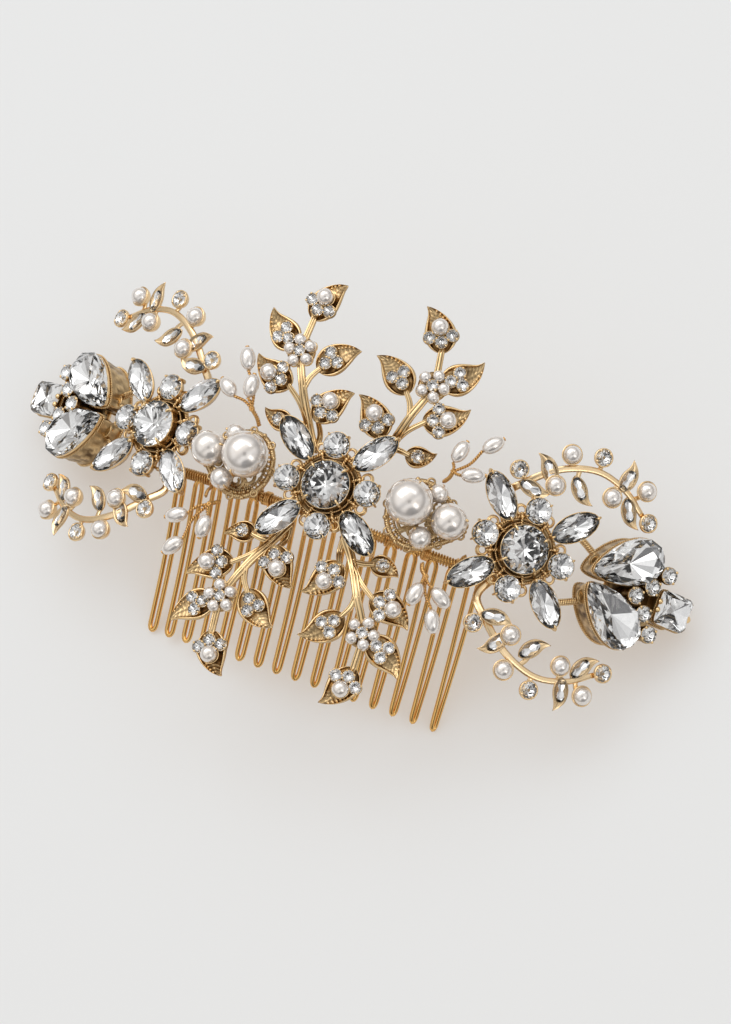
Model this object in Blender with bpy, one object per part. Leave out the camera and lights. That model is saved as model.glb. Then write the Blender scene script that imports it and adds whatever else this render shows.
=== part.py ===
"""A bridal hair comb: an arched row of three jewelled flowers with leaf sprays, vines, pearls and
crystal end clusters, tied to a wire comb.

Lengths are in millimetres, turned into metres when a mesh is finished. The ornament lies on an arch:
a place is (along, across, height), with along measured on the arch from its crown, across towards the
open side of the ornament, and height out of the arch. The teeth point to negative across.
"""

from math import asin, atan2, cos, pi, radians, sin

import bmesh
import bpy
from mathutils import Matrix, Vector

MM = 0.001
ARCH_RADIUS = 100.0
REST_TILT = radians(7.45)
REST_LIFT = 31.74
REST_SHIFT = 1.2
GAP = 0.3

# Flowers; a stone's cut is the height of its crown and of its pavilion
SIDE_FLOWER_ALONG = 41.0
SIDE_FLOWER_ACROSS = 1.5
FLOWERS = {"left": (-SIDE_FLOWER_ALONG, SIDE_FLOWER_ACROSS, 0.0),
           "centre": (0.0, 0.0, radians(7.0)),
           "right": (SIDE_FLOWER_ALONG, SIDE_FLOWER_ACROSS, radians(-2.0))}
PETALS = {"upper_right": 45.0, "upper_left": 135.0, "lower_left": 225.0, "lower_right": 315.0}
ROUNDS = {"right": 0.0, "upper": 90.0, "left": 180.0, "lower": 270.0}
PLATE_THICKNESS = 1.2
PLATE_RADIUS = 7.8
NAVETTE_INSET = 0.1
ROUND_INSET = 0.15
CENTRE_STONE_RADIUS = 5.0
NAVETTE_LENGTH = 10.6
NAVETTE_WIDTH = 5.6
NAVETTE_REACH = 11.8
ROUND_RADIUS = 2.75
ROUND_REACH = 8.5
STONE_FLOOR = PLATE_THICKNESS + GAP
CENTRE_CUT = (1.6, 2.6)
NAVETTE_CUT = (1.1, 1.5)
ROUND_CUT = (0.9, 1.3)

# Leaf sprays around the centre flower, in one quadrant: (outward, away, direction in degrees)
SPRAY_SHIFTS = {
    "upper_right": (1, 1, -0.3, -0.5, radians(4.5)),
    "upper_left": (-1, 1, 0.2, -1.5, radians(-2)),
    "lower_left": (-1, -1, -1.0, 1.6, radians(3)),
    "lower_right": (1, -1, 0.8, 0.2, radians(-7)),
}
SPRAY_ROOT = (8.8, 12.3)
PEARL_LEAVES = ((12.8, 38.0, 110.0), (18.9, 20.2, 15.0), (4.9, 17.6, 118.0))
CRYSTAL_LEAVES = ((6.8, 27.2, 130.0), (19.9, 29.4, 28.0))
SMALL_LEAF = (15.7, 11.9, 1.0)
SMALL_LEAF_HEIGHT = -0.9
SPRAY_FLOWER = (14.4, 26.3)
SPRAY_FORK = (11.6, 19.0)
STEM_ROOT = (6.0, 7.4)
INNER_ROOT = (5.8, 11.0)
SPRAY_HEIGHT = 1.5
ROOT_HEIGHT = -1.3
LEAF_LENGTH = 9.4
LEAF_WIDTH = 6.6
LEAF_THICKNESS = 1.0
SMALL_LEAF_LENGTH = 6.4
SMALL_LEAF_WIDTH = 4.8
LEAF_CURL = 1.1
STEM_RADIUS = 0.6
STEM_BITE = 1.2
BRANCH_SHARE = 0.8
PAD_HEIGHT = 1.6
PAVE_PADS = {"beside_pearl": (1.9, -1.6), "alone": (2.2, -0.4), "single": (1.35, 0.0)}
LEAF_PEARL = (1.6, 1.3, 1.5)
FLOWER_DISC = 2.4
FLOWER_CRYSTAL = (1.2, 2.0)
FLOWER_PEARL = (1.25, 2.35, 1.1)

# Vines beside each side flower, measured from its middle: (outward, away), the stem with its rise as well
VINE_STEM = ((-5.2, 11.6, -2.9), (-2.4, 15.6, -1.0), (3.5, 20.6, 0.0), (10.8, 23.0, 0.0), (17.6, 21.6, 0.0),
             (23.0, 18.2, 0.0))
VINE_ROOT = (-3.0, 6.6)
VINE_PEARLS = ((4.3, 24.1), (3.3, 17.0), (15.2, 19.1), (21.8, 23.1))
VINE_ROUNDS = ((-4.6, 17.4), (10.7, 26.0), (24.6, 17.2))
VINE_LEAVES = ((-0.4, 14.6, -10.0), (1.0, 19.9, 125.0), (8.7, 17.7, -50.0), (17.5, 24.3, 75.0),
               (20.1, 17.4, -60.0))
VINE_SHIFTS = {"right_upper": (1, 1, -1.6, -2.4, 0.0), "right_lower": (1, -1, 0.2, 0.0, 0.0),
               "left_upper": (-1, 1, -3.4, 0.0, radians(9)), "left_lower": (-1, -1, -0.2, 0.0, 0.0)}
VINE_HEIGHT = 1.6
VINE_WIRE = 0.6
VINE_TWIG = 0.42
VINE_PEARL_RADIUS = 1.9
VINE_ROUND_RADIUS = 1.8
VINE_LEAF_LENGTH = 5.8
VINE_LEAF_WIDTH = 2.5

# End clusters, measured from the arch's crown
PEAR_ALONG = 62.4
PEAR_SPREAD = 5.5
PEAR_TURN = radians(31.0)
PEAR_LENGTH = 16.4
PEAR_WIDTH = 9.2
PEAR_SEAT_LENGTH = 15.4
PEAR_SEAT_WIDTH = 8.3
SQUARE_ALONG = 75.6
SQUARE_SIDE = 7.4
SQUARE_SEAT_RADIUS = 4.7
CLUSTER_ROUNDS = ((66.2, 0.0), (69.2, 2.9), (69.2, -2.9), (71.9, 6.4), (71.9, -6.4))
CLUSTER_ROUND_RADIUS = 1.6
CLUSTER_ROUND_RISE = 2.5
CLUSTER_FLOOR = -4.2
SEAT_TOP = 1.7
POINT_ALONG = 80.9
POINT_WIRE = 0.8
BACK_PLATE = (68.8, 7.0, 1.4)
BRIDGE_WIRE = 0.7
BRIDGE_START = (58.4, 4.4, -1.8)
BRIDGE_END = (52.5, 7.0, -1.4)
PEAR_CUT = (1.8, 2.4)
SQUARE_CUT = (1.4, 2.0)

# Pearl plaques between the flowers
PLAQUE_START = 12.8
PLAQUE_END = 28.6
PLAQUE_HALF_WIDTH = 7.2
PLAQUE_ACROSS = {"left": -0.8, "right": 0.8}
PLAQUE_WIRE = 0.6
PLAQUE_HEIGHT = 0.2
PLAQUE_FOOT = 19.0
PLAQUE_RIBS = (3, 5, 11, 13)
LARGE_PEARL = (16.8, 1.2, 4.8)
MEDIUM_PEARL = (25.2, 0.4, 3.7)
SMALL_PEARL = (21.0, -4.6, 2.3)
TINY_PEARL = (21.6, 5.2, 2.0)
PEARL_FLOOR = 1.2
UNDER_PLAQUE = -1.4
UNDER_MIDDLE = (22.8, 0.0)

# Rice-pearl sprays: (along, across) of the root, the fork, and three pearls with their directions
RICE_SPRAYS = {
    "right_upper": (1, (21.6, 8.9), (22.6, 10.9), ((22.6, 15.0, 75), (28.0, 18.6, 50), (26.4, 11.4, 20))),
    "right_lower": (1, (23.2, -8.2), (24.6, -10.9), ((23.8, -15.0, -100), (28.6, -14.0, -30),
                                                  (28.6, -19.0, -65))),
    "left_lower": (-1, (21.0, -9.8), (20.6, -11.4), ((26.0, -15.6, -25), (19.6, -16.2, -90),
                                                  (24.4, -21.8, -50))),
    "left_upper": (-1, (18.6, 7.6), (19.2, 9.8), ((23.4, 19.4, 65), (25.2, 12.6, 35), (20.6, 14.2, 85))),
}
RICE_HEIGHT = 6.2
RICE_LENGTH = 5.0
RICE_RADIUS = 1.6
RICE_WIRE = 0.35

# Comb
TOOTH_COUNT = 16
TOOTH_PITCH = 4.36
TOOTH_WIRE = 0.5
TOOTH_TOP = -6.2
TOOTH_RUN = 31.3
TOOTH_DROP = 17.0
TOOTH_BOW = 1.2
TOOTH_FAN = 0.12
TOP_GAP = (1.5, 2.0)
TIP_GAP = (1.35, 1.2)
TIP_TWIST = (0.0, radians(60))
BAR_ACROSS = -5.6
BAR_HEIGHT = -3.8
BAR_RADIUS = 0.8
LASHING_WIRE = 0.22
LASHING_STEPS = 5


def on_arch(along, across, height):
    """A point of the ornament: the arch's arc in X and Z, straight across in Y."""
    angle = along / ARCH_RADIUS
    reach = ARCH_RADIUS + height
    return Vector((reach * sin(angle), across, reach * cos(angle) - ARCH_RADIUS))


def arch_frame(along, across, height, turn=0.0):
    """The placement of a flat piece that touches the arch, turned about the arch's own normal."""
    spin = Matrix.Rotation(along / ARCH_RADIUS, 4, "Y") @ Matrix.Rotation(turn, 4, "Z")
    return Matrix.Translation(on_arch(along, across, height)) @ spin


def blend(first, last, share):
    return first + (last - first) * share


# Outlines


def circle(sides, radius):
    return [(radius * cos(2 * pi * k / sides), radius * sin(2 * pi * k / sides)) for k in range(sides)]


def navette(sides, length, width):
    """Two mirrored arcs that meet in a point at each end."""
    half = sides // 2
    top = [(cos(pi * k / half), sin(pi * k / half)) for k in range(half)]
    outline = top + [(-x, -y) for x, y in top]
    return [(length / 2 * x, width / 2 * y * abs(y) ** 0.25) for x, y in outline]


def pear(sides, length, width):
    """Pointed at negative X, round at positive X."""
    outline = []
    for k in range(sides):
        angle = 2 * pi * k / sides + pi
        lean = 1 + 0.32 * cos(angle)
        outline.append((length / 2 * cos(angle), width / 2 * sin(angle) * lean))
    return outline


def leaf(length, width, curl, sides=8):
    """An ovate leaf from its base to a pointed tip that curls to one side."""
    outline = []
    for k in range(sides):
        angle = 2 * pi * k / sides + pi
        share = (1 + cos(angle)) / 2
        reach = width / 2 * sin(angle) * (1.12 - 0.62 * share**2)
        outline.append((length * (share - 0.5), reach + curl * share**4))
    return outline


# Bodies, each one closed mesh in millimetres


def as_mesh(shape):
    bmesh.ops.recalc_face_normals(shape, faces=shape.faces)
    mesh = bpy.data.meshes.new("body")
    shape.to_mesh(mesh)
    shape.free()
    return mesh


def raise_face(shape, face, height, scale):
    """Extrude a face along Z and scale its new edge about the face's middle."""
    middle = face.calc_center_median()
    rim = bmesh.ops.extrude_face_region(shape, geom=[face])["geom"]
    ring = [part for part in rim if isinstance(part, bmesh.types.BMVert)]
    top = [part for part in rim if isinstance(part, bmesh.types.BMFace)][0]
    bmesh.ops.scale(shape, vec=(scale, scale, 1), space=Matrix.Translation(-middle), verts=ring)
    bmesh.ops.translate(shape, vec=(0, 0, height), verts=ring)
    shape.faces.remove(face)
    return top


def prism(outline, low, high, scale=1.0):
    """An outline extruded from low to high, its top scaled."""
    shape = bmesh.new()
    floor = shape.faces.new([shape.verts.new((x, y, low)) for x, y in outline])
    lower = floor.copy()
    raise_face(shape, floor, high - low, scale)
    lower.normal_flip()
    bmesh.ops.remove_doubles(shape, verts=shape.verts, dist=0.001)
    return as_mesh(shape)


def gem(outline, crown, pavilion, table=0.58, culet=0.3):
    """A cut stone standing on Z = 0: a tapering pavilion, a girdle outline and a crown with a table."""
    shape = bmesh.new()
    girdle = shape.faces.new([shape.verts.new((x, y, pavilion)) for x, y in outline])
    lower = girdle.copy()
    raise_face(shape, girdle, crown, table)
    raise_face(shape, lower, -pavilion, culet)
    bmesh.ops.remove_doubles(shape, verts=shape.verts, dist=0.001)
    return as_mesh(shape)


def ball(radius, segments=6, rings=4, stretch=1.0):
    """A ball, or with a stretch an egg along X."""
    shape = bmesh.new()
    bmesh.ops.create_uvsphere(shape, u_segments=segments, v_segments=rings, radius=radius)
    bmesh.ops.rotate(shape, matrix=Matrix.Rotation(pi / 2, 3, "Y"), verts=shape.verts)
    bmesh.ops.scale(shape, vec=(stretch, 1, 1), verts=shape.verts)
    return as_mesh(shape)


def tube(points, radius, sides=6, closed=False, ends=None):
    """A round wire through points; ends may give the share of the radius at its first and last point."""
    curve = bpy.data.curves.new("wire", "CURVE")
    curve.dimensions = "3D"
    curve.bevel_depth = radius
    curve.bevel_resolution = (sides - 4) // 2
    curve.use_fill_caps = not closed
    spline = curve.splines.new("POLY")
    spline.points.add(len(points) - 1)
    spline.use_cyclic_u = closed
    for place, (point, target) in enumerate(zip(points, spline.points)):
        target.co = (*point, 1)
        if ends:
            target.radius = blend(ends[0], ends[1], place / (len(points) - 1))
    holder = bpy.data.objects.new("wire", curve)
    mesh = bpy.data.meshes.new_from_object(holder)
    bpy.data.objects.remove(holder)
    shape = bmesh.new()
    shape.from_mesh(mesh)
    bmesh.ops.remove_doubles(shape, verts=shape.verts, dist=0.0005)
    return as_mesh(shape)


def placed(mesh, placement):
    mesh.transform(placement)
    return mesh


def smooth_path(knots, steps):
    """A Catmull-Rom curve through knots, with the same number of steps between each pair."""
    points = [Vector(knot) for knot in knots]
    padded = [2 * points[0] - points[1], *points, 2 * points[-1] - points[-2]]
    path = []
    for before, start, stop, after in zip(padded, padded[1:], padded[2:], padded[3:]):
        for step in range(steps):
            u = step / steps
            bend = (2 * before - 5 * start + 4 * stop - after) * u**2
            swing = (3 * start - before - 3 * stop + after) * u**3
            path.append((2 * start + (stop - before) * u + bend + swing) / 2)
    path.append(points[-1])
    return path


# Nodes


def make_material(name, colour, roughness, metallic):
    material = bpy.data.materials.new(name)
    material.use_nodes = True
    shader = material.node_tree.nodes["Principled BSDF"]
    shader.inputs["Base Color"].default_value = (*colour, 1)
    shader.inputs["Roughness"].default_value = roughness
    shader.inputs["Metallic"].default_value = metallic
    material.diffuse_color = (*colour, 1)
    return material


def join_meshes(meshes):
    shape = bmesh.new()
    for mesh in meshes:
        shape.from_mesh(mesh)
    mesh = bpy.data.meshes.new("bodies")
    shape.to_mesh(mesh)
    shape.free()
    return mesh


def place_object(name, mesh, placement):
    mesh.transform(Matrix.Scale(MM, 4))
    mesh.name = name
    mesh.shade_smooth()
    mesh.set_sharp_from_angle(angle=radians(35))
    item = bpy.data.objects.new(name, mesh)
    bpy.context.collection.objects.link(item)
    item.parent = REST
    turn = placement.to_quaternion()
    item.location = placement.to_translation() * MM
    item.rotation_euler = turn.to_euler()
    return item


def add_node(name, bodies, material, placement=None):
    """One named solid. Its first body takes in the others with a Boolean union."""
    placement = placement or Matrix.Identity(4)
    item = place_object(name, bodies[0], placement)
    item.data.materials.append(material)
    if len(bodies) > 1:
        rest = place_object(name + "_added", join_meshes(bodies[1:]), placement)
        rest.hide_render = True
        rest.display_type = "WIRE"
        union = item.modifiers.new("one_body", "BOOLEAN")
        union.operation = "UNION"
        union.object = rest
        union.use_self = True
    return item


# Flowers


def flower_plate():
    """A round plate with a seat under each stone, its front face down the arch's normal."""
    bodies = [prism(circle(12, PLATE_RADIUS), 0, PLATE_THICKNESS)]
    for degrees in PETALS.values():
        outline = navette(8, NAVETTE_LENGTH, NAVETTE_WIDTH)
        seat = prism(outline, NAVETTE_INSET, PLATE_THICKNESS - NAVETTE_INSET)
        bodies.append(placed(seat, polar(degrees, NAVETTE_REACH)))
    for degrees in ROUNDS.values():
        seat = prism(circle(8, ROUND_RADIUS), ROUND_INSET, PLATE_THICKNESS - ROUND_INSET)
        bodies.append(placed(seat, polar(degrees, ROUND_REACH)))
    return bodies


def polar(degrees, reach):
    return Matrix.Rotation(radians(degrees), 4, "Z") @ Matrix.Translation((reach, 0, 0))


def add_flower(name, along, across, turn):
    centre = arch_frame(along, across, 0, turn)
    add_node(f"flower_plate_{name}", flower_plate(), GOLD, centre)
    lift = Matrix.Translation((0, 0, STONE_FLOOR))
    stone = gem(circle(12, CENTRE_STONE_RADIUS), *CENTRE_CUT)
    add_node(f"centre_stone_{name}", [stone], CRYSTAL, centre @ lift)
    for petal, degrees in PETALS.items():
        stone = gem(navette(8, NAVETTE_LENGTH, NAVETTE_WIDTH), *NAVETTE_CUT)
        add_node(f"navette_{name}_{petal}", [stone], CRYSTAL, centre @ polar(degrees, NAVETTE_REACH) @ lift)
    for place, degrees in ROUNDS.items():
        stone = gem(circle(8, ROUND_RADIUS), *ROUND_CUT)
        add_node(f"round_{name}_{place}", [stone], CRYSTAL, centre @ polar(degrees, ROUND_REACH) @ lift)


# Leaf sprays


class Quadrant:
    """Turns a casting's own (outward, away) places into places on the arch, mirrored and shifted."""

    def __init__(self, mirror_along, mirror_across, shift, turn, pivot, origin=(0.0, 0.0)):
        self.mirror = (mirror_along, mirror_across)
        self.shift = shift
        self.turn = turn
        self.pivot = pivot
        self.origin = origin

    def flat(self, outward, away):
        x, y = outward - self.pivot[0], away - self.pivot[1]
        turned = (x * cos(self.turn) - y * sin(self.turn), x * sin(self.turn) + y * cos(self.turn))
        outward = turned[0] + self.pivot[0] + self.shift[0]
        away = turned[1] + self.pivot[1] + self.shift[1]
        return self.origin[0] + self.mirror[0] * outward, self.origin[1] + self.mirror[1] * away

    def point(self, outward, away, height):
        return on_arch(*self.flat(outward, away), height)

    def frame(self, outward, away, height, degrees=0.0):
        """A flat piece's placement, and its direction mirrored with the casting."""
        angle = radians(degrees) + self.turn
        heading = atan2(self.mirror[1] * sin(angle), self.mirror[0] * cos(angle))
        return arch_frame(*self.flat(outward, away), height, heading)

    @property
    def side(self):
        return self.mirror[0] * self.mirror[1]


def leaf_bodies(quadrant, place, jewels, length=LEAF_LENGTH, width=LEAF_WIDTH, height=SPRAY_HEIGHT):
    """A thin leaf that carries its jewels, which stand on its face."""
    outward, away, degrees = place
    frame = quadrant.frame(outward, away, height, degrees)
    outline = leaf(length, width, LEAF_CURL * quadrant.side)
    blade = prism(outline, -LEAF_THICKNESS / 2, LEAF_THICKNESS / 2)
    return [placed(body, frame.copy()) for body in [blade, *jewels]]


def crystal_pad(place):
    """One low boss for the pave stones of a leaf."""
    radius, reach = PAVE_PADS[place]
    pad = prism(circle(6, radius), 0, PAD_HEIGHT, scale=0.7)
    return placed(pad, Matrix.Translation((reach, 0, 0)))


def leaf_pearl():
    radius, reach, height = LEAF_PEARL
    return placed(ball(radius), Matrix.Translation((reach, 0, height)))


def leaf_base(quadrant, place, length=LEAF_LENGTH, height=SPRAY_HEIGHT):
    """The place inside a leaf where its stem ends."""
    outward, away, degrees = place
    angle = radians(degrees)
    back = length / 2 - STEM_BITE
    return quadrant.point(outward - back * cos(angle), away - back * sin(angle), height)


def spray_stems(quadrant):
    """The main stem from under the flower to the tip leaf, and a branch to every other leaf."""
    root = quadrant.point(*STEM_ROOT, ROOT_HEIGHT)
    neck = quadrant.point(*SPRAY_ROOT, ROOT_HEIGHT)
    fork = quadrant.point(*SPRAY_FORK, SPRAY_HEIGHT)
    flower = quadrant.point(*SPRAY_FLOWER, SPRAY_HEIGHT)
    tip, outer, inner = (leaf_base(quadrant, place) for place in PEARL_LEAVES)
    inner_crystal, outer_crystal = (leaf_base(quadrant, place) for place in CRYSTAL_LEAVES)
    small = leaf_base(quadrant, SMALL_LEAF, SMALL_LEAF_LENGTH, SMALL_LEAF_HEIGHT)
    inner_root = quadrant.point(*INNER_ROOT, ROOT_HEIGHT)
    return [tube(smooth_path([root, neck, fork, flower, tip], 2), STEM_RADIUS, ends=(1.2, 0.9)),
            tube([neck, outer], STEM_RADIUS * BRANCH_SHARE, 4),
            tube([fork, inner_crystal], STEM_RADIUS * BRANCH_SHARE, 4),
            tube([flower, outer_crystal], STEM_RADIUS * BRANCH_SHARE, 4),
            tube([root, inner_root, inner], STEM_RADIUS * BRANCH_SHARE, 4),
            tube([neck, small], STEM_RADIUS * BRANCH_SHARE, 4)]


def spray_flower(quadrant):
    """Five small pearls around a crystal."""
    frame = quadrant.frame(*SPRAY_FLOWER, SPRAY_HEIGHT)
    half = LEAF_THICKNESS / 2
    pearl_radius, reach, height = FLOWER_PEARL
    crystal_radius, crystal_top = FLOWER_CRYSTAL
    bodies = [prism(circle(6, FLOWER_DISC), -half, half),
              prism(circle(6, crystal_radius), 0, crystal_top, scale=0.8)]
    for k in range(5):
        spoke = Matrix.Rotation(2 * pi * k / 5, 4, "Z") @ Matrix.Translation((reach, 0, height))
        bodies.append(placed(ball(pearl_radius, 6, 3), spoke))
    return [placed(body, frame) for body in bodies]


def add_spray(name, mirror_along, mirror_across, outward, away, turn):
    quadrant = Quadrant(mirror_along, mirror_across, (outward, away), turn, SPRAY_ROOT)
    bodies = spray_stems(quadrant)
    for place in PEARL_LEAVES:
        bodies += leaf_bodies(quadrant, place, [crystal_pad("beside_pearl"), leaf_pearl()])
    for place in CRYSTAL_LEAVES:
        bodies += leaf_bodies(quadrant, place, [crystal_pad("alone")])
    bodies += leaf_bodies(quadrant, SMALL_LEAF, [crystal_pad("single")], SMALL_LEAF_LENGTH,
                          SMALL_LEAF_WIDTH, SMALL_LEAF_HEIGHT)
    bodies += spray_flower(quadrant)
    add_node(f"leaf_spray_{name}", bodies, GOLD)


# Vines


def nearest(path, point):
    return min(path, key=lambda candidate: (candidate - point).length)


def vine_jewels(quadrant, path):
    """Pearls, round crystals and jewelled leaves, each on a short twig from the stem."""
    bodies = []
    jewels = [(place, ball(VINE_PEARL_RADIUS, 6, 3), VINE_PEARL_RADIUS * 0.5) for place in VINE_PEARLS]
    jewels += [(place, prism(circle(6, VINE_ROUND_RADIUS), -0.6, 1.5, 0.7), 0.0) for place in VINE_ROUNDS]
    for outward, away, degrees in VINE_LEAVES:
        blade = prism(navette(6, VINE_LEAF_LENGTH, VINE_LEAF_WIDTH), -0.5, 1.2, 0.7)
        jewels.append(((outward, away, degrees), blade, 0.0))
    for place, body, lift in jewels:
        degrees = place[2] if len(place) > 2 else 0.0
        frame = quadrant.frame(*place[:2], VINE_HEIGHT + lift, degrees)
        middle = quadrant.point(*place[:2], VINE_HEIGHT)
        bodies += [placed(body, frame), tube([nearest(path, middle), middle], VINE_TWIG, 4)]
    return bodies


def add_vine(name, mirror_along, mirror_across, outward, away, turn):
    origin = (mirror_along * SIDE_FLOWER_ALONG, SIDE_FLOWER_ACROSS)
    quadrant = Quadrant(mirror_along, mirror_across, (outward, away), turn, VINE_STEM[2][:2], origin)
    knots = [quadrant.point(outward, away, VINE_HEIGHT + rise) for outward, away, rise in VINE_STEM]
    path = smooth_path(knots, 2)
    root = quadrant.point(*VINE_ROOT, ROOT_HEIGHT)
    stem = tube([root, *path], VINE_WIRE, 6, ends=(1.1, 0.8))
    add_node(f"vine_{name}", [stem, *vine_jewels(quadrant, path)], PALE_GOLD)


# End clusters


def cluster_frame(side, outward, across, height, turn=0.0):
    """A place of an end cluster, all of which lies in one plane touching the arch at the pear stones."""
    plane = arch_frame(side * PEAR_ALONG, SIDE_FLOWER_ACROSS, height)
    heading = turn if side > 0 else pi - turn
    offset = Matrix.Translation((side * (outward - PEAR_ALONG), across, 0))
    return plane @ offset @ Matrix.Rotation(heading, 4, "Z")


def cluster_point(side, outward, across, height):
    return cluster_frame(side, outward, across, height).to_translation()


def cluster_bodies(side):
    """Deep seats under the pear and square stones, five set rounds, two bridges and the end point."""
    depth = SEAT_TOP - CLUSTER_FLOOR
    plate_along, plate_radius, plate_height = BACK_PLATE
    plate = prism(circle(8, plate_radius), 0, plate_height)
    bodies = [placed(plate, cluster_frame(side, plate_along, 0, CLUSTER_FLOOR))]
    for hand in (1, -1):
        seat = prism(pear(10, PEAR_SEAT_LENGTH, PEAR_SEAT_WIDTH), 0, depth)
        frame = cluster_frame(side, PEAR_ALONG, hand * PEAR_SPREAD, CLUSTER_FLOOR, hand * PEAR_TURN)
        bodies.append(placed(seat, frame))
        bridge = [cluster_point(side, along, hand * across, height)
                  for along, across, height in (BRIDGE_START, BRIDGE_END)]
        bodies.append(tube(bridge, BRIDGE_WIRE))
    seat = prism(circle(4, SQUARE_SEAT_RADIUS), 0.2, depth - 0.2)
    bodies.append(placed(seat, cluster_frame(side, SQUARE_ALONG, 0, CLUSTER_FLOOR, pi / 4)))
    for outward, across in CLUSTER_ROUNDS:
        post = prism(circle(6, CLUSTER_ROUND_RADIUS), 0.5, depth + CLUSTER_ROUND_RISE)
        bodies.append(placed(post, cluster_frame(side, outward, across, CLUSTER_FLOOR)))
    middle = CLUSTER_FLOOR + depth / 2
    point = [cluster_point(side, along, 0, middle) for along in (SQUARE_ALONG, POINT_ALONG)]
    bodies.append(tube(point, POINT_WIRE, ends=(1.0, 0.5)))
    return bodies


def add_cluster(name, side):
    add_node(f"end_frame_{name}", cluster_bodies(side), GOLD)
    for place, hand in (("upper", 1), ("lower", -1)):
        stone = gem(pear(12, PEAR_LENGTH, PEAR_WIDTH), *PEAR_CUT, table=0.62)
        frame = cluster_frame(side, PEAR_ALONG, hand * PEAR_SPREAD, SEAT_TOP + GAP, hand * PEAR_TURN)
        add_node(f"pear_stone_{name}_{place}", [stone], CRYSTAL, frame)
    half = SQUARE_SIDE / 2
    corner = half * 0.8
    outline = [(half, corner), (corner, half), (-corner, half), (-half, corner),
               (-half, -corner), (-corner, -half), (corner, -half), (half, -corner)]
    stone = gem(outline, *SQUARE_CUT, table=0.6)
    add_node(f"square_stone_{name}", [stone], CRYSTAL, cluster_frame(side, SQUARE_ALONG, 0, SEAT_TOP + GAP))


# Pearl plaques


def plaque_outline(side):
    """A leaf-shaped loop that tapers towards the side flower."""
    points = []
    for k in range(16):
        angle = 2 * pi * k / 16
        share = (1 - cos(angle)) / 2
        along = blend(PLAQUE_START, PLAQUE_END, share)
        across = PLAQUE_HALF_WIDTH * sin(angle) * (1.08 - 0.7 * share**2)
        points.append(on_arch(side * along, PLAQUE_ACROSS[SIDES[side]] + across, PLAQUE_HEIGHT))
    return points


def add_plaque(side):
    name = SIDES[side]
    across = PLAQUE_ACROSS[name]
    rim = plaque_outline(side)
    bodies = [tube(rim, PLAQUE_WIRE, 6, closed=True)]
    rib = [on_arch(side * along, across, PLAQUE_HEIGHT)
           for along in (PLAQUE_START, PLAQUE_FOOT, PLAQUE_END)]
    bodies.append(tube(rib, PLAQUE_WIRE * 0.8, 4))
    foot = on_arch(side * PLAQUE_FOOT, across, PLAQUE_HEIGHT)
    for index in PLAQUE_RIBS:
        bodies.append(tube([foot, rim[index]], PLAQUE_WIRE * 0.7, 4))
    add_node(f"pearl_plaque_{name}", bodies, GOLD)


def pearl_middle(side, along, across, radius):
    return on_arch(side * along, PLAQUE_ACROSS[SIDES[side]] + across, PEARL_FLOOR + radius)


def add_plaque_pearls(side):
    name = SIDES[side]
    for size, (along, across, radius) in (("large", LARGE_PEARL), ("medium", MEDIUM_PEARL)):
        middle = Matrix.Translation(pearl_middle(side, along, across, radius))
        add_node(f"{size}_pearl_{name}", [ball(radius, 12, 8)], PEARL, middle)
    small = pearl_middle(side, *SMALL_PEARL)
    tiny = pearl_middle(side, *TINY_PEARL)
    under = [on_arch(side * along, PLAQUE_ACROSS[name] + across, UNDER_PLAQUE)
             for along, across in (SMALL_PEARL[:2], UNDER_MIDDLE, TINY_PEARL[:2])]
    wire_way = [small, *under, tiny]
    bodies = [placed(ball(SMALL_PEARL[2], 8, 6), Matrix.Translation(small)),
              placed(ball(TINY_PEARL[2], 8, 6), Matrix.Translation(tiny)),
              tube(wire_way, RICE_WIRE, 4)]
    add_node(f"wired_pearls_{name}", bodies, PEARL)


def add_rice_spray(name, side, root, fork, pearls):
    """Three rice-shaped pearls on twisted wire that springs from the plaque's edge."""
    start = on_arch(side * root[0], root[1], 0.6)
    middle = on_arch(side * fork[0], fork[1], RICE_HEIGHT - 1.0)
    bodies = [tube([start, middle], RICE_WIRE * 1.5)]
    for along, across, degrees in pearls:
        heading = radians(degrees) if side > 0 else pi - radians(degrees)
        frame = arch_frame(side * along, across, RICE_HEIGHT, heading)
        egg = ball(RICE_RADIUS, 6, 4, stretch=RICE_LENGTH / 2 / RICE_RADIUS)
        bodies += [placed(egg, frame), tube([middle, frame.to_translation()], RICE_WIRE)]
    add_node(f"rice_pearls_{name}", bodies, PEARL)


# Comb


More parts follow.
